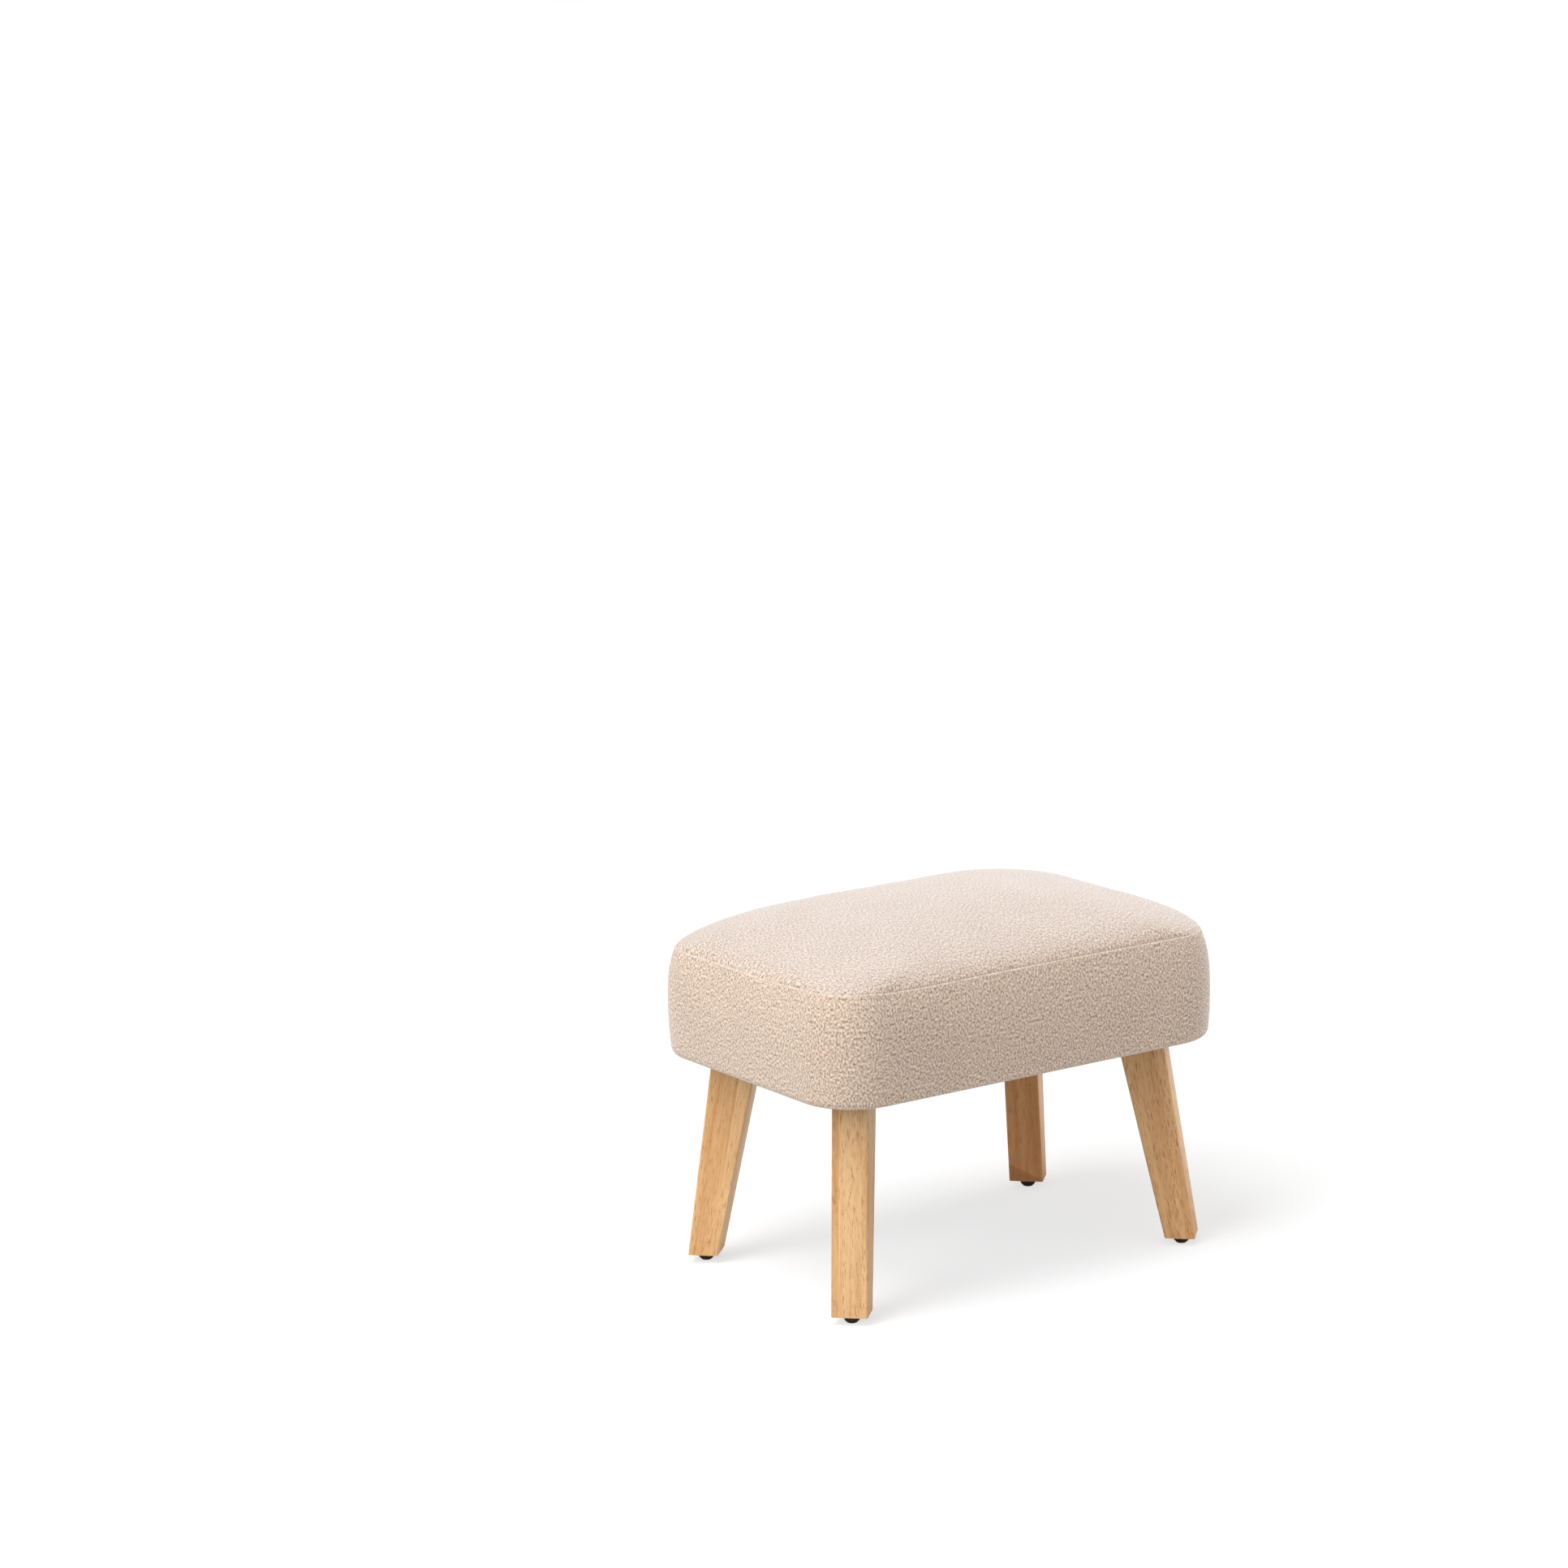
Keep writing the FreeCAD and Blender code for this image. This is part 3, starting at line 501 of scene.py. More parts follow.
def coverRows(density, fine):
    # Rings of the cover from the hem to the middle grid, and each one's distance from the seam: negative
    # and in height below it, along the slope above it. The fine rows are only in the finished mesh.
    columns = outlineColumns(density)
    roll, underside = form["roll"], form["underside"]
    band = form["seam"] - underside
    base = sideInset(roll)
    rings = [insetRing(columns, base + roll + gap, underside) for gap in cover["hemRows"]]
    for step in range(cover["rollSteps"] + 1):
        turn = math.pi / 2 * step / cover["rollSteps"]
        inset, rise = roll * (1 - math.sin(turn)), roll * (1 - math.cos(turn))
        rings.append(insetRing(columns, base + inset, underside + rise))
    count = round((band - roll) / cover["sidePitch"])
    heights = list(np.linspace(roll, band, count + 1)[1:])
    if fine:
        heights = [height for height in heights if height < band - cover["evenRowsEnd"]]
        heights += [band + gap for gap in cover["seamRows"] if gap <= 0]
    rings += [insetRing(columns, sideInset(height), underside + height) for height in heights]
    distances = [row[0, 2] - form["seam"] for row in rings]
    seamRow = len(rings) - 1

    shares, stops = crownShares(cover["topPitch"])
    pairs = list(zip(shares[1:], stops[1:]))
    if fine:
        gaps = [gap for gap in cover["seamRows"] if gap > 0] + [cover["topPitch"]]
        pairs = [(np.interp(gap, stops, shares), gap) for gap in gaps] + pairs[1:]
    for share, stop in pairs:
        rings.append(ring(columns, *crownSpan(share), form["seam"] + (form["top"] - form["seam"]) * share))
        distances.append(stop)
    return np.array(rings), np.array(distances), seamRow


def shapeCover(density, fine):
    rings, distances, seamRow = coverRows(density, fine)
    drift = smoothRound(cover["seamDrift"], cornerPlace(density))
    below, above = cover["driftFade"]
    fade = np.clip(1 - np.abs(distances) / np.where(distances < 0, below, above), 0, 1)
    rings[:, :, 2] += eased(fade)[:, None] * drift[None]
    return rings, distances, seamRow, middleGrid(rings[-1], density)


def ringNormals(rings):
    along = np.roll(rings, -1, axis=1) - np.roll(rings, 1, axis=1)
    normals = np.cross(along, np.gradient(rings, axis=0))
    return normals / np.linalg.norm(normals, axis=2, keepdims=True)


print("upholstery form ready")


clothSetup = {
    "cloth": {"quality": 5, "mass": 0.3, "tension_stiffness": 12, "compression_stiffness": 12,
              "shear_stiffness": 4, "bending_stiffness": 0.4, "pin_stiffness": 1.0, "shrink_min": -0.012,
              "use_pressure": True, "uniform_pressure_force": 4},
    "frames": 20,
    "freeRows": 18,            # rows of the boxing under the seam that may move
    "seamHold": 0.5,
    # what is taken over of the result: the part finer than so many rounds of smoothing, how much of it and
    # how far a point may move
    "smoothRounds": 120,
    "gain": 0.3,
    "mostMove": 0.0007,
}


def clothResult(points, faces, held, setup):
    # runs Cloth on a copy of the form and gives back where its points end
    piece = looseMesh("clothRun", points, faces)
    group = piece.vertex_groups.new(name="held")
    for value in np.unique(held):
        if value > 0:
            group.add([int(v) for v in np.nonzero(held == value)[0]], float(value), "REPLACE")
    cloth = piece.modifiers.new("cloth", "CLOTH")
    for key, value in setup["cloth"].items():
        setattr(cloth.settings, key, value)
    cloth.settings.vertex_group_mass = "held"
    cloth.settings.effector_weights.gravity = 0
    cloth.collision_settings.use_collision = False
    cloth.collision_settings.use_self_collision = False
    scene = bpy.context.scene
    cloth.point_cache.frame_start, cloth.point_cache.frame_end = 1, setup["frames"]
    for number in range(1, setup["frames"] + 1):
        scene.frame_set(number)
    evaluated = piece.evaluated_get(bpy.context.evaluated_depsgraph_get())
    result = np.empty(len(points) * 3)
    evaluated.data.vertices.foreach_get("co", result)
    scene.frame_set(1)
    mesh = piece.data
    bpy.data.objects.remove(piece)
    bpy.data.meshes.remove(mesh)
    return result.reshape(-1, 3)


def broadPart(moves, faces, rounds):
    # what is left of the moves when each point takes its neighbours' mean again and again
    pairs = np.array([(face[k], face[(k + 1) % 4]) for face in faces for k in range(4)])
    edges = np.unique(np.sort(pairs), axis=0)
    ends, others = np.concatenate((edges[:, 0], edges[:, 1])), np.concatenate((edges[:, 1], edges[:, 0]))
    share = 1 / np.bincount(ends, minlength=len(moves))
    broad = moves.copy()
    for number in range(rounds):
        mean = [np.bincount(ends, broad[others, axis], len(moves)) * share for axis in range(3)]
        broad = (broad + np.column_stack(mean)) / 2
    return broad


def coverMoves():
    # how the sewn and stretched fabric departs from the even form, on the coarse rows and columns
    rings, distances, seamRow, grid = shapeCover(1, False)
    points, faces, rows, numbers = closedForm(rings, grid, 1)
    held = np.zeros(len(points))
    held[rows[:seamRow - clothSetup["freeRows"]].ravel()] = 1
    held[rows[seamRow]] = clothSetup["seamHold"]
    # the form already has the fabric's even swell, so only what is finer than that is taken over
    moved = clothResult(points, faces, held, clothSetup) - points
    moved = (moved - broadPart(moved, faces, clothSetup["smoothRounds"])) * clothSetup["gain"]
    length = np.linalg.norm(moved, axis=1, keepdims=True)
    moved *= clothSetup["mostMove"] / np.maximum(length, clothSetup["mostMove"])
    print("cloth creases up to", round(float(length.max()) * 1000, 2), "mm, on average",
          round(float(length.mean()) * 1000, 2), "mm")
    return moved[rows], moved[numbers], distances


def weaveLength():
    # how far each column is round the widest outline, and the whole way at the end
    belt = insetRing(outlineColumns(cover["density"]), 0, 0)
    steps = np.linalg.norm(np.diff(np.vstack((belt, belt[:1])), axis=0), axis=1)
    return np.concatenate(([0], np.cumsum(steps)))


def spreadMoves(moves, fromRows, toRows, density):
    # coarse rows and columns of moves to the fine ones
    byRow = np.empty((len(toRows), moves.shape[1], 3))
    for column in range(moves.shape[1]):
        for axis in range(3):
            byRow[:, column, axis] = np.interp(toRows, fromRows, moves[:, column, axis])
    count = round(moves.shape[1] * density)
    at = np.arange(count) / density
    low = np.floor(at).astype(int)
    share = eased((at - low)[None, :, None])
    return byRow[:, low] * (1 - share) + byRow[:, (low + 1) % moves.shape[1]] * share


def spreadGrid(moves, shape):
    # the middle grid's coarse moves to its fine points
    i, j = (np.linspace(0, moves.shape[axis] - 1, shape[axis]) for axis in range(2))
    i0, j0 = (np.minimum(np.floor(v).astype(int), size - 2) for v, size in zip((i, j), moves.shape))
    a, b = (i - i0)[:, None, None], (j - j0)[None, :, None]
    return ((1 - a) * (1 - b) * moves[i0][:, j0] + a * (1 - b) * moves[i0 + 1][:, j0]
            + (1 - a) * b * moves[i0][:, j0 + 1] + a * b * moves[i0 + 1][:, j0 + 1])


def seamPuckers(distances, places, lengths):
    # small puckers where the fabric is eased into the seam, deepest round the corners, and the creases
    nearCorner = np.exp(-((np.abs((places + 0.5) % 1 - 0.5) / cover["puckerCorner"]) ** 2))
    turns = lengths * 2 * np.pi
    shift, shiftLength = cover["puckerShift"]
    swell, swellLength, swellStart = cover["puckerSwell"]
    wave = (np.sin(turns / cover["puckerLength"] + shift * np.sin(turns / shiftLength))
            * (1 - swell + swell * np.sin(turns / swellLength + swellStart)))
    sideShare = cover["puckerSideShare"]
    depth = cover["puckerDepth"] * (sideShare + (1 - sideShare) * nearCorner) * wave
    fade = np.exp(-np.abs(distances) / cover["puckerReach"])
    fade *= np.clip(np.abs(distances) / cover["puckerStart"], 0, 1)
    fade = np.where(distances > 0, fade * cover["puckerTopShare"], fade)
    relief = fade[:, None] * depth[None]
    for place, distance, placeReach, distanceReach, press in cover["creases"]:
        along = np.exp(-((places - place) / placeReach) ** 2)
        down = np.exp(-((distances - distance) / distanceReach) ** 2)
        relief -= press * down[:, None] * along[None]
    return relief


def seamRelief(distances):
    # each row's own rise beside the seam
    rises = np.zeros(len(distances))
    for gap, rise in cover["seamRows"].items():
        rises[np.abs(distances - gap) < cover["rowMatch"]] = rise
    return rises


def setWeave(piece, across, up, seam):
    # the fabric's own coordinates, in metres across and along its columns, and how near the seam's fold it
    # is, which sets the painted highlight there
    weave = piece.data.attributes.new("weave", "FLOAT_VECTOR", "POINT")
    flat = np.column_stack((np.ravel(across), np.ravel(up), np.ravel(seam)))
    weave.data.foreach_set("vector", flat.ravel())


def makeCover(fabric):
    density = cover["density"]
    rings, distances, seamRow, grid = shapeCover(density, True)
    lengths = weaveLength()
    moves, gridMoves, fromRows = coverMoves()
    order = np.argsort(fromRows, kind="stable")
    rings += spreadMoves(moves[order], fromRows[order], distances, density)
    grid += spreadGrid(gridMoves, grid.shape)
    relief = seamRelief(distances)[:, None] + seamPuckers(distances, cornerPlace(density), lengths[:-1])
    rings += ringNormals(rings) * relief[:, :, None]
    # how much of the painted highlight on the seam's fold each row gets
    foldHighlightNear = np.exp(-((distances - cover["foldHighlightPlace"]) / cover["foldHighlightWidth"]) ** 2)

    # boxing, open where its two ends are sewn together at the rear left corner
    side = np.concatenate((rings[:seamRow + 1], rings[:seamRow + 1, :1]), axis=1)
    edge = side[0] + (0, 0, cover["hemEdge"])
    side = np.vstack((edge[None], side))
    rows = np.arange(side.shape[0] * side.shape[1]).reshape(side.shape[:2])
    band = makeMesh("coverBand", side.reshape(-1, 3), stripFaces(rows, False), "cover_fabric", fabric)
    across = np.broadcast_to(lengths * (cover["weavePeriods"] * tweed["period"] / lengths[-1]), rows.shape)
    walked = np.concatenate(([0], np.cumsum(np.linalg.norm(np.diff(side, axis=0), axis=2).mean(axis=1))))
    up = np.broadcast_to(walked[:, None], rows.shape)
    setWeave(band, across, up, np.repeat(np.append(0, foldHighlightNear[:seamRow + 1]), rows.shape[1]))

    points, faces, rows, numbers = closedForm(rings[seamRow:], grid, density)
    top = makeMesh("coverTop", points, faces, "cover_fabric", fabric)
    fall = (points[:, 2] - form["top"]) * cover["weaveFall"] * np.sign(-points[:, 1])
    foldHighlightNearTop = np.concatenate((np.repeat(foldHighlightNear[seamRow:], rings.shape[1]), np.zeros(len(points) - rows.size)))
    setWeave(top, points[:, 0], points[:, 1] + fall, foldHighlightNearTop)
    for piece, node in ((band, "side_band"), (top, "top_panel")):
        smooth = piece.modifiers.new("subdivision", "SUBSURF")
        smooth.levels = smooth.render_levels = 1
        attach(piece, "root")
        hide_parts(node)
    return rings, grid, seamRow


tweed = {
    "period": 0.02301,         # two columns of the herringbone
    "pitch": 0.0022,           # from one twill line to the next, along a column
    "slope": 0.92,
    "wander": (90, 0.0006, 0.0009),          # its cells to the metre, and how far it goes across and along
    # cells to the metre, across and along the columns, and what each adds to the light and dark
    "standing": (820, 330, 1),
    "lying": (520, 620, 1),
    "fleck": (560, 340, 1),
    "clump": (240, 180, 1),
    "roseFleck": (150, 110, 1),
    "cloud": 16,
    "level": 0.58,
    "adds": {"twill": 0.25, "yarn": 1.9, "fleck": 3.0, "clump": 0.1, "cloud": 0.10},
    "reliefs": {"twill": 0.2, "yarn": 0.6, "fleck": 0.6},
    # light and dark yarn on the sides, and on top, where it faces up, painted paler and smoother, with less
    # contrast: painted light for the top's sheen and highlight
    "cream": (0.860, 0.694, 0.562),
    "creamTopPaintedLight": (0.850, 0.735, 0.665),
    "taupe": (0.210, 0.143, 0.090),
    "taupeTopPaintedLight": (0.235, 0.175, 0.128),
    "contrast": 0.63,
    "contrastTopPaintedLight": 0.42,
    "paintedLightTopFrom": (0.3, 1.05),
    "rose": (0.68, 0.40, 0.31),
    "roseShare": 0.45,
    # the paler colour painted on the seam's fold, a painted highlight, and its share
    "foldHighlight": (0.88, 0.76, 0.65),
    "foldHighlightShare": 0.3,
    "bumpStrength": 0.16,
    "bumpDepth": 0.0002,
}


def makeTweed():
    fabric = Finish("coverTweed")
    woven = fabric.node("Attribute", {"attribute_name": "weave"}, output="Vector")
    place = fabric.vector("MULTIPLY", woven, (1, 1, 0))
    u, v, seam = fabric.parts(woven)
    # where the cloth faces up it is painted paler, cooler and with less contrast: painted light standing in
    # for the top's sheen and highlight
    rise = fabric.facingUp().step(*tweed["paintedLightTopFrom"])
    cream = fabric.blend(rise, tweed["cream"], tweed["creamTopPaintedLight"])
    taupe = fabric.blend(rise, tweed["taupe"], tweed["taupeTopPaintedLight"])
    contrast = tweed["contrast"] + rise * (tweed["contrastTopPaintedLight"] - tweed["contrast"])
    cells, aside, along = tweed["wander"]
    wander = fabric.noise(place, cells, 1) - 0.5
    zigzag = (u + wander * aside).math("PINGPONG", tweed["period"] / 2)
    phase = (v - zigzag * tweed["slope"] + wander * along) * (2 * math.pi / tweed["pitch"])
    twill = phase.math("SINE")
    over = twill.step(-0.5, 0.5)
    standing = fabric.noise(place, tweed["standing"], 2, 0.55)
    lying = fabric.noise(place, tweed["lying"], 2, 0.55)
    yarn = standing * over + lying * (1 - over) - 0.5
    fleck = fabric.noise(place, tweed["fleck"], 1) - 0.5
    clump = fabric.noise(place, tweed["clump"]) - 0.5
    cloud = fabric.noise(place, tweed["cloud"], 3) - 0.5
    roseFleck = fabric.noise(place, tweed["roseFleck"], 3, 0.6)

    adds, reliefs = tweed["adds"], tweed["reliefs"]
    marks = twill * adds["twill"] + yarn * adds["yarn"] + fleck * adds["fleck"] + clump * adds["clump"]
    light = tweed["level"] + marks * contrast + cloud * adds["cloud"]
    color = fabric.blend(light.step(0.0, 1.05), taupe, cream)
    color = fabric.blend(roseFleck.step(0.56, 0.74) * tweed["roseShare"], color, tweed["rose"])
    # the fold beside the seam painted lighter: a painted highlight where it catches the light
    color = fabric.blend(seam * tweed["foldHighlightShare"], color, tweed["foldHighlight"])
    height = twill * reliefs["twill"] + yarn * reliefs["yarn"] + fleck * reliefs["fleck"]
    normal = fabric.bump(height * contrast, tweed["bumpStrength"], tweed["bumpDepth"])
    return fabric.shade(base_color=color, roughness=0.92, normal=normal, specular_ior_level=0.2,
                        sheen_weight=0.4, sheen_roughness=0.5, sheen_tint=(0.94, 0.97, 1.0))


coverRings, coverGrid, coverSeamRow = makeCover(makeTweed())
print("cover made")


# Wadding wrap and foam core inside the cover

inner = {
    "waddingGap": 0.0026,
    "waddingThickness": 0.0070,
    "waddingLow": 0.0035,
    "columnStep": 3,
    "rowStep": 2,
    "seamRowsPassed": (9, 6),   # the cover's rows beside the seam that the wadding doesn't follow
    "foamGap": 0.0004,
    "foamSides": 0.0103,
    "foamBevel": 0.002,
    "foamSideRows": 7,
    "foamSideEnd": 0.004,
    "foamShares": (0.15, 0.4, 0.63, 0.82, 0.94, 1.0),
    "foamReach": 0.6,
    # colours, and cells to the metre
    "fibreColors": ((0.78, 0.78, 0.76), (0.9, 0.9, 0.89)),
    "fibreCells": 160,
    "puffCells": 34,
    "foamColors": ((0.86, 0.79, 0.56), (0.80, 0.70, 0.45)),
    "foamCells": 700.0,
    "ageCells": 18,
}


def waddingForm(foamTop):
    # two coarse copies of the cover's finished form, drawn inward and joined at the foot
    step = inner["columnStep"]
    density = cover["density"] / step
    below, above = inner["seamRowsPassed"]
    lowest = form["underside"] + inner["waddingLow"]
    keep = [row for row in range(len(coverRings)) if coverRings[row, 0, 2] > lowest
            and not coverSeamRow - below <= row <= coverSeamRow + above][::inner["rowStep"]]
    normals = ringNormals(coverRings)
    points, faces, bottoms = [], [], []
    for number, depth in enumerate((inner["waddingGap"], inner["waddingGap"] + inner["waddingThickness"])):
        rings = (coverRings - normals * depth)[keep][:, ::step]
        grid = middleGrid(rings[-1], density)
        grid[1:-1, 1:-1] = coverGrid[step:-step:step, step:-step:step] - (0, 0, depth)
        if number == 1:
            for block in (rings, grid):
                block[..., 2] = np.minimum(block[..., 2], foamTop + inner["foamGap"])
        start = sum(len(block) for block in points)
        layer, made, rows, numbers = closedForm(rings, grid, density)
        faces += [tuple(start + v for v in (face if number == 0 else face[::-1])) for face in made]
        points.append(layer)
        bottoms.append(start + rows[0])
    return np.vstack(points), faces + stripFaces(np.array((bottoms[1], bottoms[0])))


def foamForm(foamLow, foamTop):
    # a slab with a softened upper edge
    density = cover["density"] / inner["columnStep"]
    columns = outlineColumns(density)
    rings = [insetRing(columns, inner["foamSides"] + inner["foamBevel"], foamLow)]
    for height in np.linspace(foamLow + inner["foamBevel"], form["seam"] - inner["foamSideEnd"],
                              inner["foamSideRows"]):
        rings.append(insetRing(columns, sideInset(height - form["underside"]) + inner["foamSides"], height))
    for share in inner["foamShares"]:
        span = crownSpan(share * inner["foamReach"], inner["foamSides"])
        rings.append(ring(columns, *span, form["seam"] + (foamTop - form["seam"]) * share))
    grid = middleGrid(rings[-1], density, inner["foamSides"])
    grid[..., 2] = foamTop
    points, faces, rows, numbers = closedForm(np.array(rings), grid, density)
    return points, faces + [tuple(rows[0][::-1])]


def makeInner(waddingFinish, foamFinish):
    foamLow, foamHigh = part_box("foam_pad")
    wrap = makeMesh("waddingWrap", *waddingForm(foamHigh.z), "wadding", waddingFinish)
    core = makeMesh("foamCore", *foamForm(foamLow.z, foamHigh.z), "foam", foamFinish)
    for piece, node in ((wrap, "wadding"), (core, "foam_pad")):
        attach(piece, "root")
        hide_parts(node)


def makeWaddingFinish():
    fibres = Finish("waddingFibre")
    place = fibres.place()
    tangle = fibres.noise(place, inner["fibreCells"], 5, 0.65)
    puff = fibres.noise(place, inner["puffCells"], 3)
    color = fibres.blend(tangle, *inner["fibreColors"])
    return fibres.shade(base_color=color, roughness=0.95, sheen_weight=0.4,
                        normal=fibres.bump(tangle * 0.4 + puff, 0.6, 0.002))


def makeFoamFinish():
    foam = Finish("seatFoam")
    place = foam.place()
    cells = foam.node("TexVoronoi", None, {"Vector": place, "Scale": inner["foamCells"]})
    age = foam.noise(place, inner["ageCells"], 3)
    return foam.shade(base_color=foam.blend(age, *inner["foamColors"]), roughness=0.9,
                      normal=foam.bump(cells, 0.5, 0.0008))


makeInner(makeWaddingFinish(), makeFoamFinish())
print("wadding and foam made")


# Dust cover: a thin cloth under the base, cut out round the leg plates and held by staples

dustCover = {
    "gridPitch": 0.007,
    "corner": 0.050,
    "cornerSteps": 12,
    "cutLength": 0.061,
    "cutWidth": 0.073,
    "cutCorner": 0.0079,
    "thickness": 0.0005,
    "weld": 1e-6,
    # puckers at the edge, with their length and reach, and a slow sag that starts further in
    "pucker": 0.0005,
    "puckerShare": 0.6,
    "puckerLength": 0.041,
    "puckerReach": 0.03,
    "sagShare": 0.3,
    "sagStart": 0.05,
    "sagTurns": (21, 27),
    # non-woven fibres and the dots that bond them
    "colors": ((0.012, 0.012, 0.013), (0.045, 0.045, 0.048)),
    "fibreCells": 900,
    "dotPitch": 0.0016,
}


def middleInPlan(node):
    low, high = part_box(node)
    return (low.x + high.x) / 2, (low.y + high.y) / 2


def dustOutline(halfX, halfY, radius):
    points = []
    for number, (side, way) in enumerate([(1, -1), (1, 1), (-1, 1), (-1, -1)]):
        centre = (side * (halfX - radius), way * (halfY - radius))
        for step in range(dustCover["cornerSteps"] + 1):
            angle = math.radians(-90 + 90 * number + 90 / dustCover["cornerSteps"] * step)
            points.append((centre[0] + radius * math.cos(angle), centre[1] + radius * math.sin(angle)))
    return points


def plateCuts():
    cuts = []
    a, b, c = dustCover["cutLength"] / 2, dustCover["cutWidth"] / 2, dustCover["cutCorner"]
    spans = [(a, b - c), (a - c, b), (c - a, b), (-a, b - c),
             (-a, c - b), (c - a, -b), (a - c, -b), (a, c - b)]
    for corner, (side, way) in cornerWays.items():
        centre = Vector(middleInPlan("leg_plate_" + corner))
        out, over = Vector((side, way)).normalized(), Vector((-way, side)).normalized()
        cuts.append([centre + out * length + over * width for length, width in spans])
    return cuts


def inside(point, polygon):
    hits = False
    for a, b in zip(polygon, list(polygon[1:]) + [polygon[0]]):
        if (a[1] > point[1]) != (b[1] > point[1]):
            if point[0] < (b[0] - a[0]) * (point[1] - a[1]) / (b[1] - a[1]) + a[0]:
                hits = not hits
    return hits


def dustFaces(halfX, halfY):
    # triangles between the outline and the cuts, on a grid of points
    outline, cuts = dustOutline(halfX, halfY, dustCover["corner"]), plateCuts()
    points, edges = [], []
    for loop in [outline] + cuts:
        start = len(points)
        points += [Vector(point) for point in loop]
        edges += [(start + k, start + (k + 1) % len(loop)) for k in range(len(loop))]

    def onCloth(point):
        return inside(point, outline) and not any(inside(point, cut) for cut in cuts)

    pitch = dustCover["gridPitch"]
    for x in np.arange(-halfX + pitch, halfX, pitch):
        points += [Vector((x, y)) for y in np.arange(-halfY + pitch, halfY, pitch) if onCloth((x, y))]
    flat, unused, faces = geometry.delaunay_2d_cdt(points, edges, [], 1, dustCover["weld"])[:3]
    middles = [sum((flat[v] for v in face), Vector((0, 0))) / len(face) for face in faces]
    return flat, [face for face, middle in zip(faces, middles) if onCloth(middle)]


def makeDustCover(finish):
    low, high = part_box("dust_cover")
    halfX, halfY = high.x, high.y
    flat, faces = dustFaces(halfX, halfY)
    # between its staples the cloth hangs a little and puckers towards the edge
    shaped = []
    turnX, turnY = dustCover["sagTurns"]
    for point in flat:
        edgeGap = min(halfX - abs(point.x), halfY - abs(point.y))
        way = point.y if halfX - abs(point.x) < halfY - abs(point.y) else point.x
        fade = math.exp(-edgeGap / dustCover["puckerReach"])
        wave = math.sin(way * 2 * math.pi / dustCover["puckerLength"]) * fade
        sag = math.sin(point.x * turnX + 1) * math.sin(point.y * turnY)
        sag *= dustCover["sagShare"] * min(1, edgeGap / dustCover["sagStart"])
        hang = dustCover["pucker"] * (wave * dustCover["puckerShare"] + sag)
        shaped.append((point.x, point.y, (low.z + high.z) / 2 + hang))
    sheet = makeMesh("dustSheet", shaped, faces, "dust_cloth", finish)
    thick = sheet.modifiers.new("thickness", "SOLIDIFY")
    thick.thickness, thick.offset = dustCover["thickness"], 0
    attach(sheet, "root")
    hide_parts("dust_cover")


def makeDustFinish():
    cloth = Finish("dustCloth")
    place = cloth.place()
    fibres = cloth.noise(place, dustCover["fibreCells"], 4, 0.7)
    x, y, z = cloth.parts(place)
    turn = 2 * math.pi / dustCover["dotPitch"]
    dots = ((x * turn).math("SINE") * (y * turn).math("SINE")).step(0.4, 0.8)
    return cloth.shade(base_color=cloth.blend(fibres, *dustCover["colors"]), roughness=0.86,
                       normal=cloth.bump(fibres + dots * 0.6, 0.4, 0.0003))


makeDustCover(makeDustFinish())
print("dust cover made")


# Finishes of the wooden and metal parts that stay as they are

legWood = {
    "light": (0.790, 0.495, 0.240),
    "mid": (0.700, 0.405, 0.178),
    "deep": (0.570, 0.300, 0.112),
    "pore": (0.350, 0.145, 0.045),
    "patch": (0.420, 0.190, 0.070),
    # each leg's glued strip, as its axis and where it starts, its place in the grain, its pores, its dark
    # patch at the foot and a tone it is multiplied by; the darker, redder tones of the rear right and front
    # right legs, which stand in the stool's shade, are partly painted shade and partly the wood's own
    "front_left": (0, 0.0115, 0.0, 0.65, 0, (0.96, 0.97, 0.99)),
    "front_right": (1, 0.0400, 3.1, 0.95, 0, (0.94, 0.89, 0.86)),
    "rear_left": (1, -0.0090, 5.7, 0.60, 0, (1.09, 1.12, 1.17)),
    "rear_right": (0, 0.0400, 9.2, 0.40, 0.50, (0.86, 0.70, 0.58)),
    "stripShift": 7.3,         # how far the strip lies from the rest in the grain
    "stripDrops": (0.07, 0.14, 0.22),
    "joinLight": 0.13,
    "joinWidth": 0.0018,
    # cells to the metre, across the leg twice and along it
    "bendCells": (14, 14, 5),
    "bend": (0.01, 0.008),
    "slowCells": (105, 70, 5),
    "streakCells": (620, 520, 17),
    "poreCells": (1250, 1250, 85),
    "groupCells": (210, 210, 10),
    "patchSlope": 0.55,
    "patchHeight": 0.016,
}


def legTurn(corner):
    # world to the leg's own axes: x across, y away from the middle of the stool, z up the slanting leg
    side, way = cornerWays[corner]
    low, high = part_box("leg_" + corner)
    foot = Vector((*middleInPlan("glide_" + corner), low.z))
    head = Vector((*middleInPlan("leg_plate_" + corner), high.z))
    axis = (head - foot).normalized()
    across = Vector((way, -side, 0)).normalized()
    turn = Matrix((across, axis.cross(across), axis))
    return turn, -(turn @ foot)


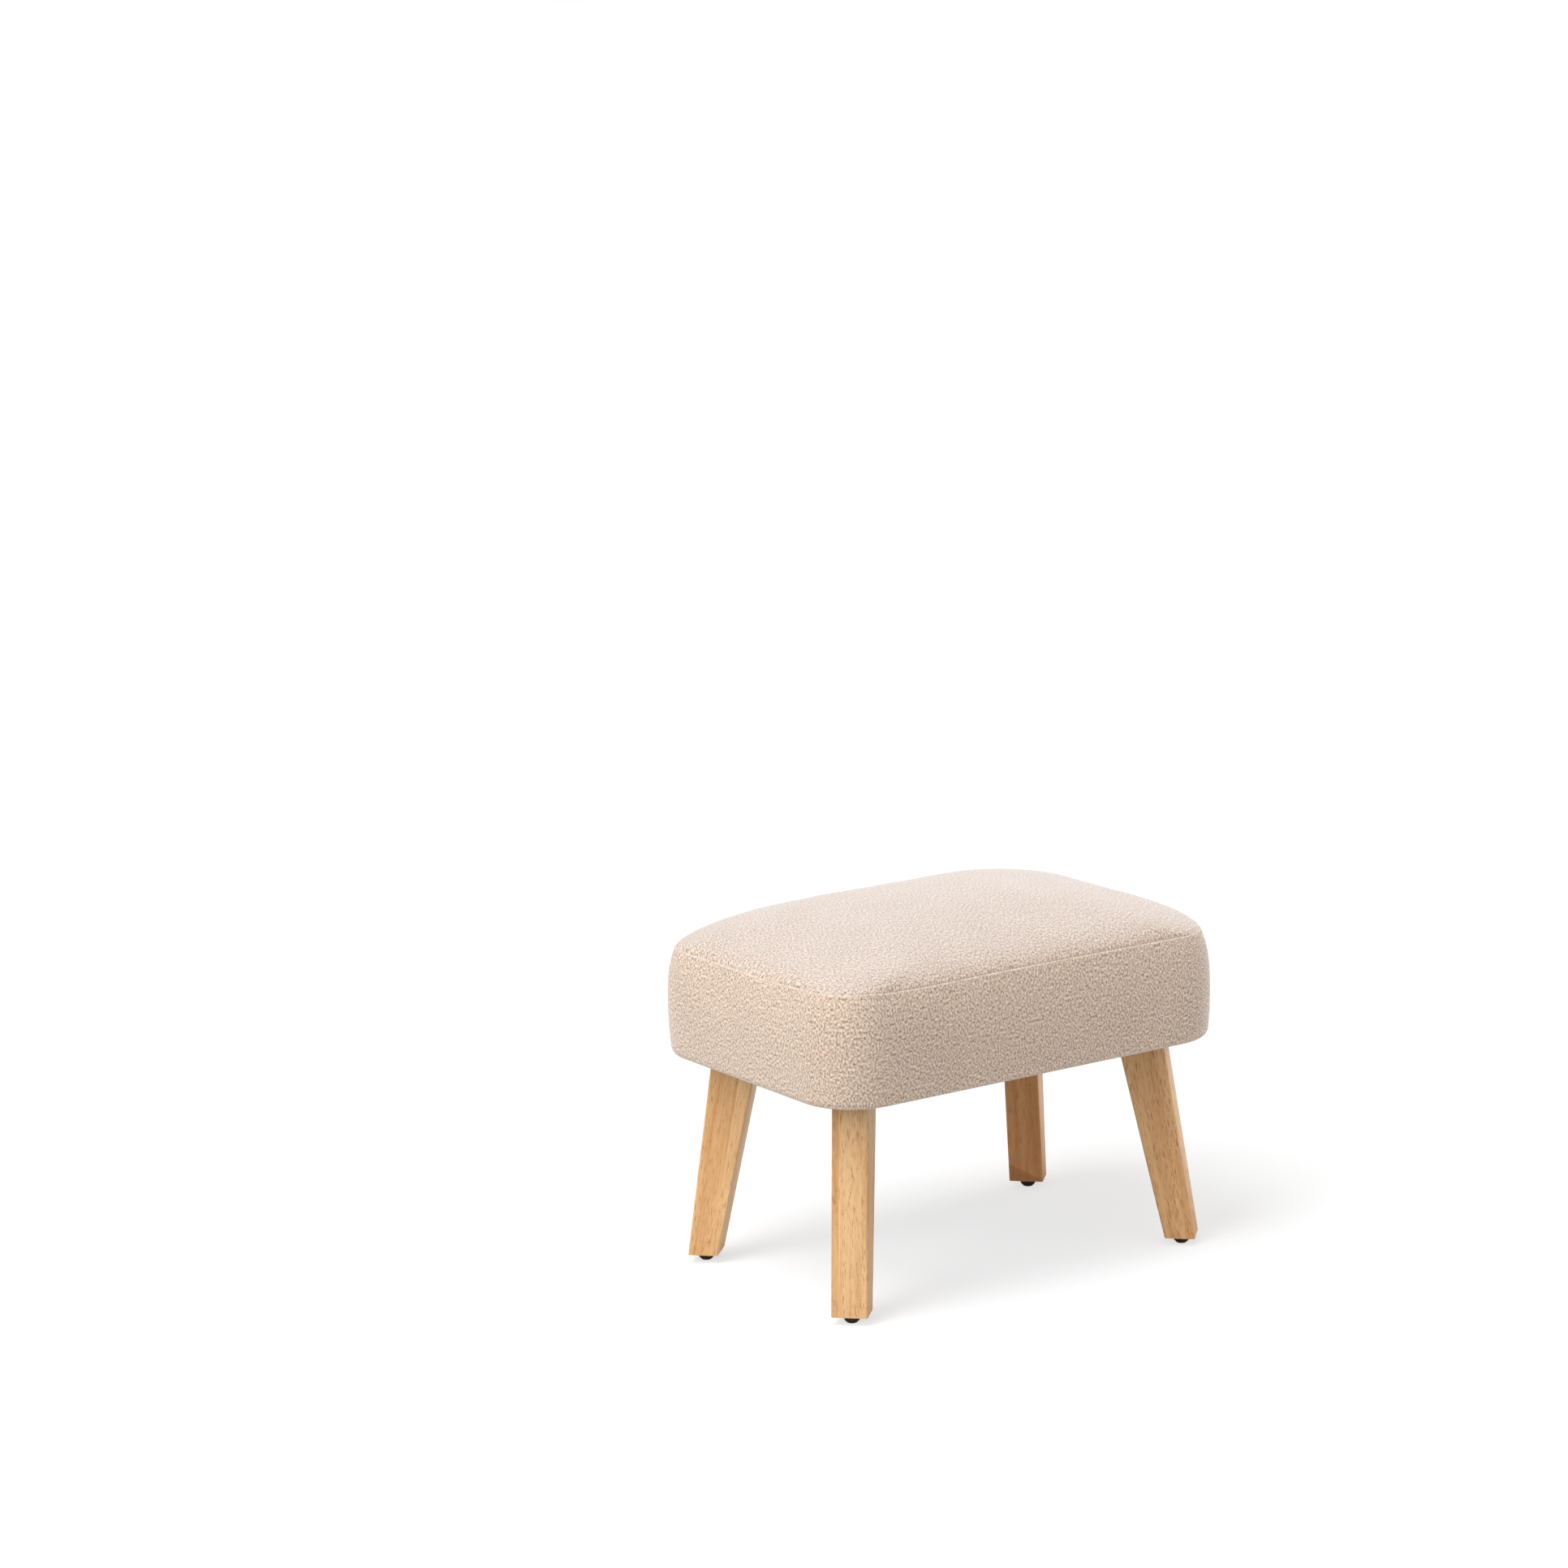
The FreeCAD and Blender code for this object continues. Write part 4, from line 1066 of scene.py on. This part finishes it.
def makeLegWood(corner):
    wood = Finish("legWood_" + corner)
    turn, shift = legTurn(corner)
    place = wood.node("Mapping", None, {"Vector": wood.place(), "Rotation": turn.to_euler(),
                                        "Location": shift})
    x, y, z = wood.parts(place)
    axis, start, grain, poreShare, patchShare, tone = legWood[corner]
    fromJoin = (x, y)[axis] - start
    strip = fromJoin.math("GREATER_THAN", 0)
    apart = strip * legWood["stripShift"] + grain
    moved = wood.join(x + apart, y, z)
    bend = wood.noise(moved, legWood["bendCells"]) - 0.5
    bendX, bendY = legWood["bend"]
    slow = wood.noise(wood.join(x + apart + bend * bendX, y + bend * bendY, z), legWood["slowCells"], 3)
    streak = wood.noise(moved, legWood["streakCells"], 3, 0.6)
    pores = wood.noise(moved, legWood["poreCells"], 1)
    groups = wood.noise(moved, legWood["groupCells"])
    pore = pores.step(0.54, 0.64) * groups.step(0.36, 0.56)
    darker = wood.blend(streak.step(0.4, 0.7) * 0.7, legWood["mid"], legWood["deep"])
    color = wood.blend(slow.step(0.32, 0.66), darker, legWood["light"])
    color = wood.blend(streak.step(0.54, 0.72) * 0.5, color, legWood["deep"])
    color = wood.blend(pore * poreShare, color, legWood["pore"])
    patch = (z + x * legWood["patchSlope"] - legWood["patchHeight"]).step(0.002, -0.002)
    color = wood.blend(patch * patchShare, color, legWood["patch"])
    join = fromJoin.math("ABSOLUTE").step(legWood["joinWidth"], 0.0)
    # each leg's tone; on the rear right and front right legs, darker and redder, it is partly painted shade
    tint = [(1 + join * legWood["joinLight"] - strip * drop) * level
            for drop, level in zip(legWood["stripDrops"], tone)]
    color = wood.blend(1.0, color, wood.join(*tint), "MULTIPLY")
    return wood.shade(base_color=color, roughness=0.42 + streak * 0.1,
                      normal=wood.bump(streak * 0.3 - pore * 0.3, 0.2, 0.0002),
                      specular_ior_level=0.35, coat_weight=0.12, coat_roughness=0.3)


frameWood = {
    "early": (0.66, 0.49, 0.30),
    "late": (0.52, 0.345, 0.185),
    "fleck": (0.42, 0.26, 0.13),
    "grainCells": {"rawWoodLong": (5, 130, 130), "rawWoodShort": (130, 5, 130)},
    "fineShare": 4,
}


def makeRawWood(name):
    wood = Finish(name)
    place = wood.place()
    cells = frameWood["grainCells"][name]
    rings = wood.noise(place, cells, 3)
    fine = wood.noise(place, tuple(frameWood["fineShare"] * value for value in cells), 3)
    color = wood.blend(rings.step(0.3, 0.7), frameWood["early"], frameWood["late"])
    color = wood.blend(fine.step(0.5, 0.8) * 0.4, color, frameWood["fleck"])
    return wood.shade(base_color=color, roughness=0.7, normal=wood.bump(fine, 0.3, 0.0004))


birchPly = {
    "edges": ((0.58, 0.41, 0.24), (0.34, 0.20, 0.10)),
    "faces": ((0.70, 0.54, 0.35), (0.57, 0.40, 0.23)),
    "ply": 0.0015,
    "grainCells": (4, 90, 90),
}


def makePlywood():
    wood = Finish("birchPly")
    place = wood.place()
    facing = wood.facingUp().math("ABSOLUTE")
    x, y, z = wood.parts(place)
    plies = (z * (math.pi / birchPly["ply"])).math("SINE").step(-0.3, 0.3)
    grain = wood.noise(place, birchPly["grainCells"], 4)
    edge = wood.blend(plies, *birchPly["edges"])
    veneer = wood.blend(grain.step(0.3, 0.7), *birchPly["faces"])
    color = wood.blend(facing.step(0.4, 0.6), edge, veneer)
    return wood.shade(base_color=color, roughness=0.65, normal=wood.bump(grain, 0.2, 0.0004))


# colour, metallic, roughness, the grain's cells to the metre and its depth, and the parts it is on
metals = {
    "blackPowder": ((0.013, 0.013, 0.014), 0.0, 0.42, 2600, 0.0002,
                    ["leg_plate_" + corner for corner in cornerWays]),
    "blackSteel": ((0.045, 0.045, 0.048), 0.8, 0.30, 900, 0.0001, ["plate_bolts"]),
    "zincSteel": ((0.62, 0.62, 0.60), 1.0, 0.28, 700, 0.0001,
                  ["tee_nuts", "deck_screws", "base_screws", "leg_screws", "glide_nails", "cover_staples",
                   "dust_cover_staples"]),
    "glidePlastic": ((0.022, 0.018, 0.016), 0.0, 0.30, 1800, 0.00012,
                     ["glide_" + corner for corner in cornerWays]),
}


def makeMetal(name, color, metallic, roughness, grain, depth):
    metal = Finish(name)
    place = metal.place()
    speck = metal.noise(place, grain, 4, 0.6)
    wear = metal.noise(place, 60, 3)
    shade = metal.blend(wear.step(0.3, 0.8) * 0.5, color, tuple(min(1, value * 1.5) for value in color))
    return metal.shade(base_color=shade, metallic=metallic, roughness=roughness + speck * 0.14,
                       normal=metal.bump(speck, 0.3, depth))


def dress(names, material):
    for name in names:
        for slot in nodes[name].material_slots:
            slot.material = material


for corner in cornerWays:
    dress(["leg_" + corner], makeLegWood(corner))
for name, (*look, parts) in metals.items():
    dress(parts, makeMetal(name, *look))
cornerBlocks = ["corner_block_" + corner for corner in cornerWays]
dress(["front_rail", "rear_rail"] + cornerBlocks, makeRawWood("rawWoodLong"))
dress(["left_rail", "right_rail", "centre_rail", "rail_dowels"], makeRawWood("rawWoodShort"))
dress(["seat_deck", "base_board"], makePlywood())
print("wood, metal and plastic finished")
